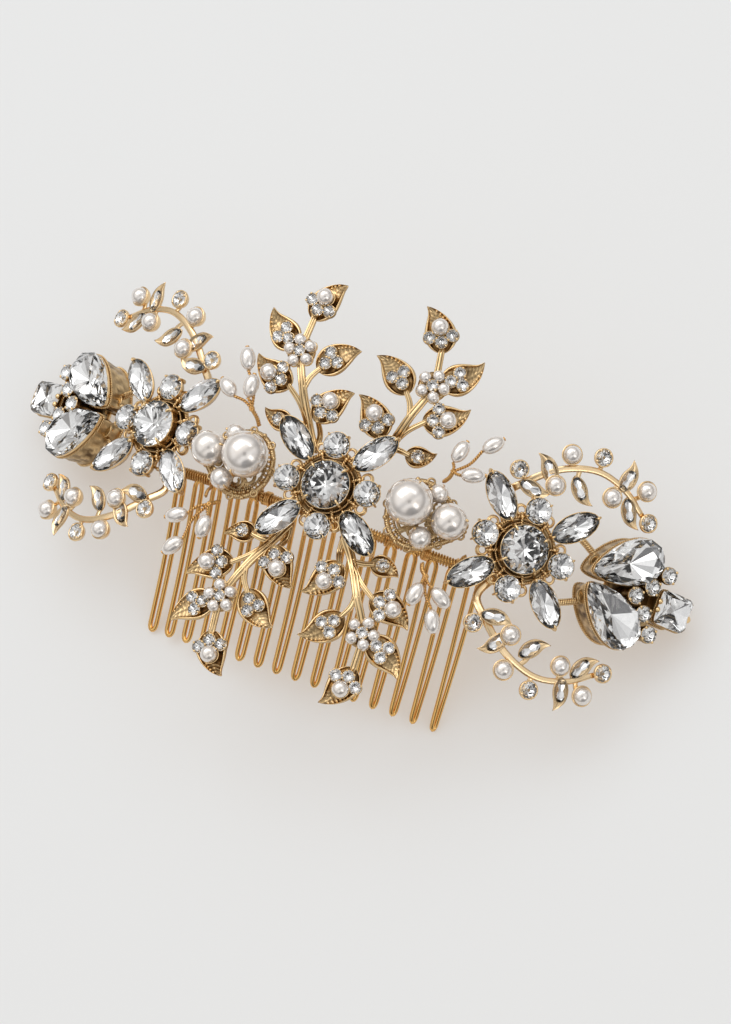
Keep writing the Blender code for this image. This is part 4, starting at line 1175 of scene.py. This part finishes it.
class COMB_OT_vines(bpy.types.Operator):
    """Cast the four vines, with their crystals and pearls"""

    bl_idname = "comb.vines"
    bl_label = "Vines"

    def execute(self, context):
        stones, pearls = [], []
        for name, (mirror_along, mirror_across, outward, away, turn) in VINE_SHIFTS.items():
            origin = (mirror_along * SIDE_FLOWER_ALONG, SIDE_FLOWER_ACROSS)
            quadrant = Quadrant(mirror_along, mirror_across, (outward, away), turn, VINE_STEM[2][:2], origin)
            casting, its_stones, its_pearls = vine_parts(quadrant)
            make_piece(f"vine_casting_{name}", casting, ("satin_leaf_gold",), (f"vine_{name}",))
            stones += its_stones
            pearls += its_pearls
        make_piece("vine_crystals", stones, STONE_FINISHES)
        make_piece("vine_pearls", pearls, ("pearl_lustre",))
        return {"FINISHED"}


# Ends


def ornate_cup(outline, low, high, waves):
    """A deep setting whose wall is carved with slanted scallops: the middle rows move out by
    0.2 cos(waves a + 9 height) cos(waves a / 2 - 6 height), and two roped edges run round it."""
    # The wall's foot and inside are darker, its lip lighter: painted shade along with tarnish
    profile = [(0.80, 0.0, low), (0.88, 0.0, low + 0.15), (0.89, 0.12, low + 0.5)]
    shade_and_tarnish = [0.9, 0.5, 0.2]
    for share in np.linspace(0.12, 0.8, 9):
        profile.append((0.89 + 0.08 * share, -0.08, low + (high - low) * share))
        shade_and_tarnish.append(0.62)
    profile += [(0.98, 0.0, high - 0.9), (1.0, 0.0, high - 0.5), (1.0, 0.06, high - 0.1), (1.0, 0.02, high),
                (1.0, -0.12, high), (1.0, -0.3, high - 0.4), (0.6, 0, low + 1.2)]
    shade_and_tarnish += [0.5, 0.15, 0.0, 0.0, 0.1, 0.9, 1.0]
    skin = turned(outline, profile, np.array(shade_and_tarnish))
    height = (skin.points[:, 2] - low) / (high - low)
    band = np.exp(-(((height - 0.45) / 0.28) ** 4))
    around = np.arctan2(skin.points[:, 1], skin.points[:, 0])
    wave = np.cos(waves * around + 9 * height) * np.cos(0.5 * waves * around - 6 * height)
    reach = np.linalg.norm(skin.points[:, :2], axis=1, keepdims=True)
    push = (0.2 * band * wave)[:, None] * skin.points[:, :2] / np.maximum(reach, 0.5)
    skin.points[:, :2] += push * (reach > 1.5)
    # In the scallop band the crests get lighter and the troughs darker: painted highlight and painted shade
    # along with polish and tarnish
    skin.shade_and_tarnish = np.clip(skin.shade_and_tarnish - 0.3 * band * (wave > 0.25) + 0.2 * band * (wave < -0.2), 0, 1)
    skins = [skin]
    for height, radius, share in ((low + 0.4, 0.32, 0.89), (high - 1.2, 0.24, 0.98)):
        ring = outline * share + outline_normals(outline) * 0.08
        skins.append(rope(raised(ring, height), (0, 0, 1), radius, 0.9, True))
    return joined(skins)


def end_parts(side):
    """One end: its casting and its stones."""
    casting, stones = [], []
    girdle = SEAT_TOP + GAP + PEAR_CUT[1] - CLUSTER_FLOOR
    seat = ornate_cup(pear(72, PEAR_LENGTH - 0.2, PEAR_WIDTH - 0.2), 0.0, girdle, 22)
    stone = brilliant(pear(16, PEAR_LENGTH, PEAR_WIDTH), *PEAR_CUT, table=0.70, star=0.93)
    for hand in HANDS.values():
        place = (side, PEAR_ALONG, hand * PEAR_SPREAD)
        casting.append(seat.at(cluster_frame(*place, CLUSTER_FLOOR, hand * PEAR_TURN)))
        stones.append(stone.at(cluster_frame(*place, SEAT_TOP + GAP, hand * PEAR_TURN)))
        bar = curved([cluster_frame(side, along, hand * across, height)[:3, 3]
                      for along, across, height in (BRIDGE_START, BRIDGE_END)], 6)
        up = arch_normal(side * PEAR_ALONG)
        casting.append(rope(bar, up, 0.75, 1.5, strands=3))
        casting.append(beads(bar, 0.55, 1.2))
        angle = np.linspace(0, 1.6 * pi, 26)
        curl = (1.9 - 0.75 * angle / pi)[:, None] * np.stack([np.cos(angle), np.sin(angle)], -1)
        casting.append(sweep(raised(curl * [1, hand], -0.6), RIBBED, (0, 0, 1), 0.5, shade_and_tarnish=RIBBED_SHADE_AND_TARNISH)
                       .at(cluster_frame(side, BRIDGE_START[0] - 1.2, hand * 3.4, 0)))
    girdle = SEAT_TOP + GAP + SQUARE_CUT[1] - CLUSTER_FLOOR
    casting.append(ornate_cup(cushion(64, SQUARE_SIDE - 0.1), 0.0, girdle, 16)
                   .at(cluster_frame(side, SQUARE_ALONG, 0, CLUSTER_FLOOR)))
    stones.append(brilliant(cushion(16, SQUARE_SIDE), *SQUARE_CUT, table=0.68, star=0.92)
                  .at(cluster_frame(side, SQUARE_ALONG, 0, SEAT_TOP + GAP)))
    setting, stone = set_stone(CLUSTER_ROUND_RADIUS + 0.12, 0.8, 0.6)
    # The post is darker in its grooves: painted shade along with tarnish
    post = turned(circle(20, CLUSTER_ROUND_RADIUS), [(0.9, 0, -4.8), (1.0, -0.05, -4.6), (0.92, 0, -3.0),
                                                     (1.0, -0.02, -1.5), (0.92, 0, -0.4), (0.9, 0, 0.6)],
                  np.array([0.8, 0.4, 0.9, 0.5, 0.9, 0.8]))
    spots = [cluster_frame(side, outward, across, SEAT_TOP) for outward, across in CLUSTER_ROUNDS]
    casting.append(joined([setting, post.at(shift_matrix(0, 0, 0.6))]).at(*spots))
    stones.append(stone.at(*spots))
    # The plate is darker inside: painted shade along with tarnish
    profile = [(5.5, 0, 0.0), (6.7, 0, 0.1), (6.9, 0, 0.6), (6.6, 0, 1.3), (5.0, 0, 1.5)]
    plate = turned(circle(40, 1.0), profile, np.array([0.3, 0.2, 0.1, 0.5, 0.9]))
    casting.append(plate.at(cluster_frame(side, 68.8, 0, CLUSTER_FLOOR)))
    knob = [cluster_frame(side, 71.9, hand, SEAT_TOP + 2.0) for hand in (0.9, -0.9)]
    casting.append(ball(0.62, 12, 8).at(*knob))
    end = cluster_frame(side, POINT_ALONG - 0.9, 0, 0.5 * (CLUSTER_FLOOR + SEAT_TOP) + 1.6)
    casting.append(ball(1.05, 16, 10, 1.5).at(end))
    return casting, stones


class COMB_OT_ends(bpy.types.Operator):
    """Cast the two ends and set their stones"""

    bl_idname = "comb.ends"
    bl_label = "Ends"

    def execute(self, context):
        for name, side in SIDES.items():
            casting, stones = end_parts(side)
            make_piece(f"end_casting_{name}", casting, ("cast_gold",), (f"end_frame_{name}",))
            nodes = [f"pear_stone_{name}_{hand}" for hand in HANDS] + [f"square_stone_{name}"]
            make_piece(f"end_stones_{name}", stones, STONE_FINISHES, nodes)
        return {"FINISHED"}


# Pearl plaques


def plaque_ring(side, name, count, inset=0.0):
    """The plaque's edge: along from start to end with (1 - cos a) / 2, across its half width times
    sin a (1.08 - 0.7 share^2), less an inset."""
    angle = 2 * pi * np.arange(count) / count
    share = (1 - np.cos(angle)) / 2
    along = PLAQUE_START + inset + (PLAQUE_END - PLAQUE_START - 2 * inset) * share
    across = (PLAQUE_HALF_WIDTH - inset) * np.sin(angle) * (1.08 - 0.7 * share**2)
    return side * along, PLAQUE_ACROSS[name] + across


def scroll(radius, turns, width, rows=40):
    """A flat wire scroll: radius r (1 - 0.72 share) at angle 2 pi turns share."""
    share = np.linspace(0, 1, rows)
    angle = 2 * pi * turns * share
    reach = radius * (1 - 0.72 * share)
    path = np.stack([reach * np.cos(angle), reach * np.sin(angle), 0 * share], -1)
    return sweep(path, RIBBED, (0, 0, 1), width * (1 - 0.35 * share), shade_and_tarnish=RIBBED_SHADE_AND_TARNISH)


def plaque_casting(side, name):
    """The openwork under the pearls: a roped edge, an inner beaded edge, rings and scrolls round the
    border, ribs, and a loop with beads at each corner."""
    along, across = plaque_ring(side, name, 120)
    up = arch_normal(along)
    edge = on_arch(along, across, PLAQUE_HEIGHT)
    skins = [rope(edge, up.mean(axis=0), 0.62, 1.3, True, 3)]
    along, across = plaque_ring(side, name, 120, 1.3)
    inner = on_arch(along, across, PLAQUE_HEIGHT + 0.15)
    skins.append(rope(inner, up.mean(axis=0), 0.32, 0.9, True))
    along, across = plaque_ring(side, name, 120, 0.7)
    skins.append(beads(on_arch(along, across, PLAQUE_HEIGHT + 0.42), 0.34, 0.95, True))
    along, across = plaque_ring(side, name, 18, -0.35)
    ringlets = [arch_frame(x, y, PLAQUE_HEIGHT + 0.5) for x, y in zip(along, across)]
    skins.append(loop_ring(0.72, 0.24, 0.0, 14).at(*ringlets[::2]))
    skins.append(ball(0.5, 10, 6).at(*ringlets[1::2]))
    along, across = plaque_ring(side, name, 10, 3.3)
    for k, (x, y) in enumerate(zip(along, across)):
        turn = atan2(y - PLAQUE_ACROSS[name], x - side * 19.5) + (pi if k % 2 else 0.4)
        curl = scroll(1.75, 1.35, 0.42)
        if k % 2:
            curl.points[:, 1] *= -1
        skins.append(curl.at(arch_frame(x, y, PLAQUE_HEIGHT + 0.1, turn)))
    for low, high in (((14.0, 0.0), (27.0, 0.0)), ((16.0, -5.0), (24.0, 3.4)), ((16.0, 5.0), (24.0, -3.4))):
        share = np.linspace(0, 1, 12)
        x = side * (low[0] + (high[0] - low[0]) * share)
        y = PLAQUE_ACROSS[name] + low[1] + (high[1] - low[1]) * share
        skins.append(sweep(on_arch(x, y, PLAQUE_HEIGHT - 0.1), RIBBED, up.mean(axis=0), 0.6,
                           shade_and_tarnish=RIBBED_SHADE_AND_TARNISH))
    casting = joined(skins)
    # The whole casting is made darker, its recesses most: a darker antique tone and deeper painted shade
    casting.shade_and_tarnish = np.clip(casting.shade_and_tarnish * 0.8 + 0.3, 0, 1)
    return [casting]


def plaque_pearls(side, name):
    """The four pearls of a plaque, and the wire that ties each through its middle."""
    pearls, ties = [], []
    for along, across, radius in (LARGE_PEARL, MEDIUM_PEARL, SMALL_PEARL, TINY_PEARL):
        detail = 48 if radius > 3 else 32
        spot = arch_frame(side * along, PLAQUE_ACROSS[name] + across, PEARL_FLOOR + radius)
        pearls.append(ball(radius, detail, detail // 2).at(spot))
        angle = np.linspace(-0.15 * pi, 1.15 * pi, 20)
        tie = np.stack([radius * 1.02 * np.cos(angle), 0 * angle, -radius * 1.02 * np.sin(angle)], -1)
        spun = spot @ turn_matrix(0.3 + along, "Z")
        ties.append(wire(tie, 0.2, (0, 1, 0), 6, shade_and_tarnish=0.1).at(spun))
        ties.append(ball(0.32, 8, 5).at(spun @ shift_matrix(radius * 0.93, 0, radius * 0.42)))
    return pearls, ties


class COMB_OT_plaques(bpy.types.Operator):
    """Make the openwork plaques and tie on their pearls"""

    bl_idname = "comb.plaques"
    bl_label = "Pearl plaques"

    def execute(self, context):
        for name, side in SIDES.items():
            pearls, ties = plaque_pearls(side, name)
            make_piece(f"plaque_casting_{name}", plaque_casting(side, name) + ties, ("cast_gold",),
                       (f"pearl_plaque_{name}",))
            make_piece(f"plaque_pearls_{name}", pearls, ("pearl_lustre",),
                       (f"large_pearl_{name}", f"medium_pearl_{name}", f"wired_pearls_{name}"))
        return {"FINISHED"}


class COMB_OT_rice_pearls(bpy.types.Operator):
    """Wire up the rice-shaped pearls"""

    bl_idname = "comb.rice_pearls"
    bl_label = "Rice pearls"

    def execute(self, context):
        pearls, wires = [], []
        egg = ball(RICE_RADIUS, 24, 18, RICE_LENGTH / 2 / RICE_RADIUS)
        for side, root, fork, places in RICE_SPRAYS.values():
            start = on_arch(side * root[0], root[1], 0.6)
            middle = on_arch(side * fork[0], fork[1], RICE_HEIGHT - 1.0)
            up = arch_normal(side * fork[0])
            lean = np.cross(middle - start, up)
            path = curved([start, (start + middle) / 2 + 0.12 * lean, middle], 8)
            wires.append(rope(path, (1, 0, 0), 0.45, 1.3))
            wires.append(rope(middle + 0.35 * raised(circle(16, 1.0)), up, 0.3, 0.7, True))
            for along, across, degrees in places:
                heading = radians(degrees) if side > 0 else pi - radians(degrees)
                spot = arch_frame(side * along, across, RICE_HEIGHT, heading)
                pearls.append(egg.at(spot))
                near = (spot @ np.array([-RICE_LENGTH / 2 - 0.1, 0, 0, 1]))[:3]
                bow = (middle + near) / 2 + 0.1 * np.cross(near - middle, up)
                wires.append(rope(curved([middle, bow, near], 8), up, 0.35, 1.1))
                angle = np.linspace(0, pi, 18)
                back = np.stack([-(RICE_LENGTH / 2 + 0.12) * np.cos(angle), 0 * angle,
                                 -(RICE_RADIUS + 0.1) * np.sin(angle)], -1)
                wires.append(wire(back, 0.17, (0, 1, 0), 6, shade_and_tarnish=0.1).at(spot))
                end = spot @ shift_matrix(RICE_LENGTH / 2 + 0.05, 0, 0) @ turn_matrix(pi / 2, "Y")
                wires.append(loop_ring(0.3, 0.15, 0.0, 12).at(end))
        nodes = [f"rice_pearls_{name}" for name in RICE_SPRAYS]
        make_piece("rice_pearls", pearls, ("pearl_lustre",), nodes)
        make_piece("rice_wires", wires, ("binding_wire_gold",))
        return {"FINISHED"}


# Stage


class COMB_OT_stage(bpy.types.Operator):
    """Lay the paper floor, hang the soft lights and set up the camera"""

    bl_idname = "comb.stage"
    bl_label = "Stage"

    def execute(self, context):
        stage = context.scene.comb_stage
        mesh = bpy.data.meshes.new("floor")
        half = FLOOR_HALF
        mesh.from_pydata([(-half, -half, 0), (half, -half, 0), (half, half, 0), (-half, half, 0)], [],
                         [(0, 1, 2, 3)])
        floor = bpy.data.objects.new("floor", mesh)
        floor.location.z = CAD_BOX[0][2] - FLOOR_DROP
        context.scene.collection.objects.link(floor)
        mesh.materials.append(finish_called("studio_paper"))

        world = context.scene.world or bpy.data.worlds.new("studio")
        context.scene.world = world
        world.use_nodes = True
        background = world.node_tree.nodes["Background"]
        background.inputs["Strength"].default_value = stage.room_light
        view = add_node(world, "ShaderNodeTexCoord").outputs["Generated"]

        def towards(direction):
            """How nearly a view runs in one direction: the dot product."""
            return add_node(world, "ShaderNodeVectorMath", {"operation": "DOT_PRODUCT"},
                            {0: view, 1: direction}).outputs["Value"]

        overhead, behind = towards((0.23, -0.23, 0.945)), towards((0.55, -0.78, 0.3))
        across = towards((-0.83, 0.50, 0.22))
        lit_side, far_side = towards((-0.83, 0.55, 0.0)), towards((0.95, -0.27, 0.15))
        band = calculated(world, "MULTIPLY", ranged(world, across, 0.0, 0.7, -0.22, -0.06),
                          ranged(world, across, 0.9, 0.0, 0.12, 0.26))
        dark = calculated(world, "ADD", ranged(world, overhead, 0.0, 0.95, 0.984, 0.99),
                          ranged(world, behind, 0.0, 0.9, 0.88, 0.93))
        height = add_node(world, "ShaderNodeSeparateXYZ", None, {"Vector": view}).outputs["Z"]
        low = calculated(world, "MULTIPLY", ranged(world, height, 0.85, 0.0, 0.18, 0.55),
                         ranged(world, lit_side, 1.0, 0.8, 0.3, 0.75))
        room = mixed(world, band, (1.0, 1.0, 1.0, 1), (0.34, 0.34, 0.345, 1))
        low = calculated(world, "MAXIMUM", low, ranged(world, far_side, 0.0, 0.35, 0.62, 0.86))
        room = mixed(world, low, room, (0.19, 0.175, 0.165, 1))
        room = mixed(world, dark, room, (0.10, 0.10, 0.105, 1))
        seen = add_node(world, "ShaderNodeLightPath").outputs["Is Camera Ray"]
        world.node_tree.links.new(mixed(world, seen, room, (0.76, 0.76, 0.76, 1)),
                                  background.inputs["Color"])

        middle = Vector(((CAD_BOX[0][k] + CAD_BOX[1][k]) / 2 for k in range(3)))
        for name, direction, distance, size, power, colour in (
                ("key", (-0.62, 0.42, 0.95), 1.4, (1.15, 0.85), stage.key_light, (1.0, 0.985, 0.96)),
                ("fill", (0.95, -0.35, 0.75), 1.5, (0.45, 0.75), stage.fill_light, (1.0, 0.97, 0.93)),
                ("top", (0.12, 0.95, 1.1), 1.6, (1.2, 0.35), stage.top_light, (0.95, 0.98, 1.0))):
            light = bpy.data.lights.new(name, "AREA")
            light.shape = "RECTANGLE"
            light.size, light.size_y = size
            light.energy = power
            light.color = colour
            lamp = bpy.data.objects.new(name, light)
            aim = Vector(direction).normalized()
            lamp.location = middle + aim * distance
            lamp.rotation_euler = aim.to_track_quat("Z", "Y").to_euler()
            context.scene.collection.objects.link(lamp)

        back = Vector((sin(CAMERA_YAW) * cos(CAMERA_PITCH), -sin(CAMERA_PITCH),
                       cos(CAMERA_YAW) * cos(CAMERA_PITCH)))
        flat = Vector((cos(CAMERA_YAW), 0, -sin(CAMERA_YAW)))
        rise = back.cross(flat)
        right = cos(CAMERA_ROLL) * flat + sin(CAMERA_ROLL) * rise
        up = cos(CAMERA_ROLL) * rise - sin(CAMERA_ROLL) * flat
        camera = bpy.data.cameras.new("camera")
        camera.lens = CAMERA_LENS
        camera.sensor_width = CAMERA_SENSOR
        camera.clip_start = NEAR_CLIP
        holder = bpy.data.objects.new("camera", camera)
        turn = Matrix((right, up, back)).transposed()
        holder.matrix_world = Matrix.Translation(Vector(CAMERA_TARGET) * MM + back * CAMERA_DISTANCE * MM) \
            @ turn.to_4x4()
        context.scene.collection.objects.link(holder)
        context.scene.camera = holder
        context.scene.view_settings.view_transform = "Standard"
        return {"FINISHED"}


# The panel


class CombSizes(bpy.types.PropertyGroup):
    binding_turns: bpy.props.FloatProperty(
        name="Binding turns", description="Turns of binding wire for each tooth", default=7.0, min=1.0)


def tint(name, description, default):
    return bpy.props.FloatVectorProperty(name=name, description=description, default=default, size=3, min=0,
                                         max=1, subtype="COLOR")


def lamp_power(name, description, default):
    return bpy.props.FloatProperty(name=name, description=description, default=default, min=0, unit="POWER")


class CombColours(bpy.types.PropertyGroup):
    cast_gold: tint("Cast gold", "Polished heights of the castings", (0.90, 0.66, 0.36))
    # The colour the castings get in their recesses: painted shade there along with tarnish
    tarnish_and_shade_tint: tint("Tarnish", "Recesses of the castings", (0.09, 0.048, 0.018))
    satin_gold: tint("Satin gold", "Vines", (0.91, 0.69, 0.42))
    wire_gold: tint("Wire gold", "Bar and teeth", (0.88, 0.54, 0.19))
    binding_gold: tint("Binding gold", "Fine binding wire", (0.86, 0.52, 0.20))
    pearl: tint("Pearl", "Body of the pearls", (0.83, 0.79, 0.755))
    # The paper's glow is painted light: an emission that lifts and warms its shadows, and the cool floor
    # colour keeps the open paper neutral
    floor: tint("Floor", "Paper under the comb", (0.365, 0.445, 0.505))
    floor_painted_glow: tint("Floor glow", "Warm light given back by the paper", (0.42, 0.34, 0.275))


class CombStage(bpy.types.PropertyGroup):
    room_light: bpy.props.FloatProperty(name="Room", description="Light from all round", default=0.99, min=0)
    key_light: lamp_power("Key", "Large soft light from the upper left", 5.6)
    fill_light: lamp_power("Fill", "Soft light from the lower right", 1.6)
    top_light: lamp_power("Top", "Strip light beyond the comb", 1.6)


OPERATORS = (COMB_OT_stage, COMB_OT_teeth, COMB_OT_binding, COMB_OT_flowers, COMB_OT_sprays,
             COMB_OT_vines, COMB_OT_ends, COMB_OT_plaques, COMB_OT_rice_pearls)
GROUPS = {"comb_sizes": CombSizes, "comb_colours": CombColours, "comb_stage": CombStage}


class COMB_PT_panel(bpy.types.Panel):
    """Sizes, colours and one button for each group of pieces"""

    bl_idname = "COMB_PT_panel"
    bl_label = "Hair comb"
    bl_space_type = "VIEW_3D"
    bl_region_type = "UI"
    bl_category = "Hair comb"

    def draw(self, context):
        for group in GROUPS:
            values = getattr(context.scene, group)
            for name in values.bl_rna.properties.keys():
                if name not in ("rna_type", "name"):
                    self.layout.prop(values, name)
        for operator in OPERATORS:
            self.layout.operator(operator.bl_idname)


def register():
    for group, kind in GROUPS.items():
        bpy.utils.register_class(kind)
        setattr(bpy.types.Scene, group, bpy.props.PointerProperty(type=kind))
    for kind in (*OPERATORS, COMB_PT_panel):
        bpy.utils.register_class(kind)


def unregister():
    for kind in (COMB_PT_panel, *reversed(OPERATORS)):
        bpy.utils.unregister_class(kind)
    for group, kind in reversed(GROUPS.items()):
        delattr(bpy.types.Scene, group)
        bpy.utils.unregister_class(kind)


def main():
    register()
    for operator in OPERATORS:
        family, name = operator.bl_idname.split(".")
        getattr(getattr(bpy.ops, family), name)()


if __name__ == "__main__":
    main()
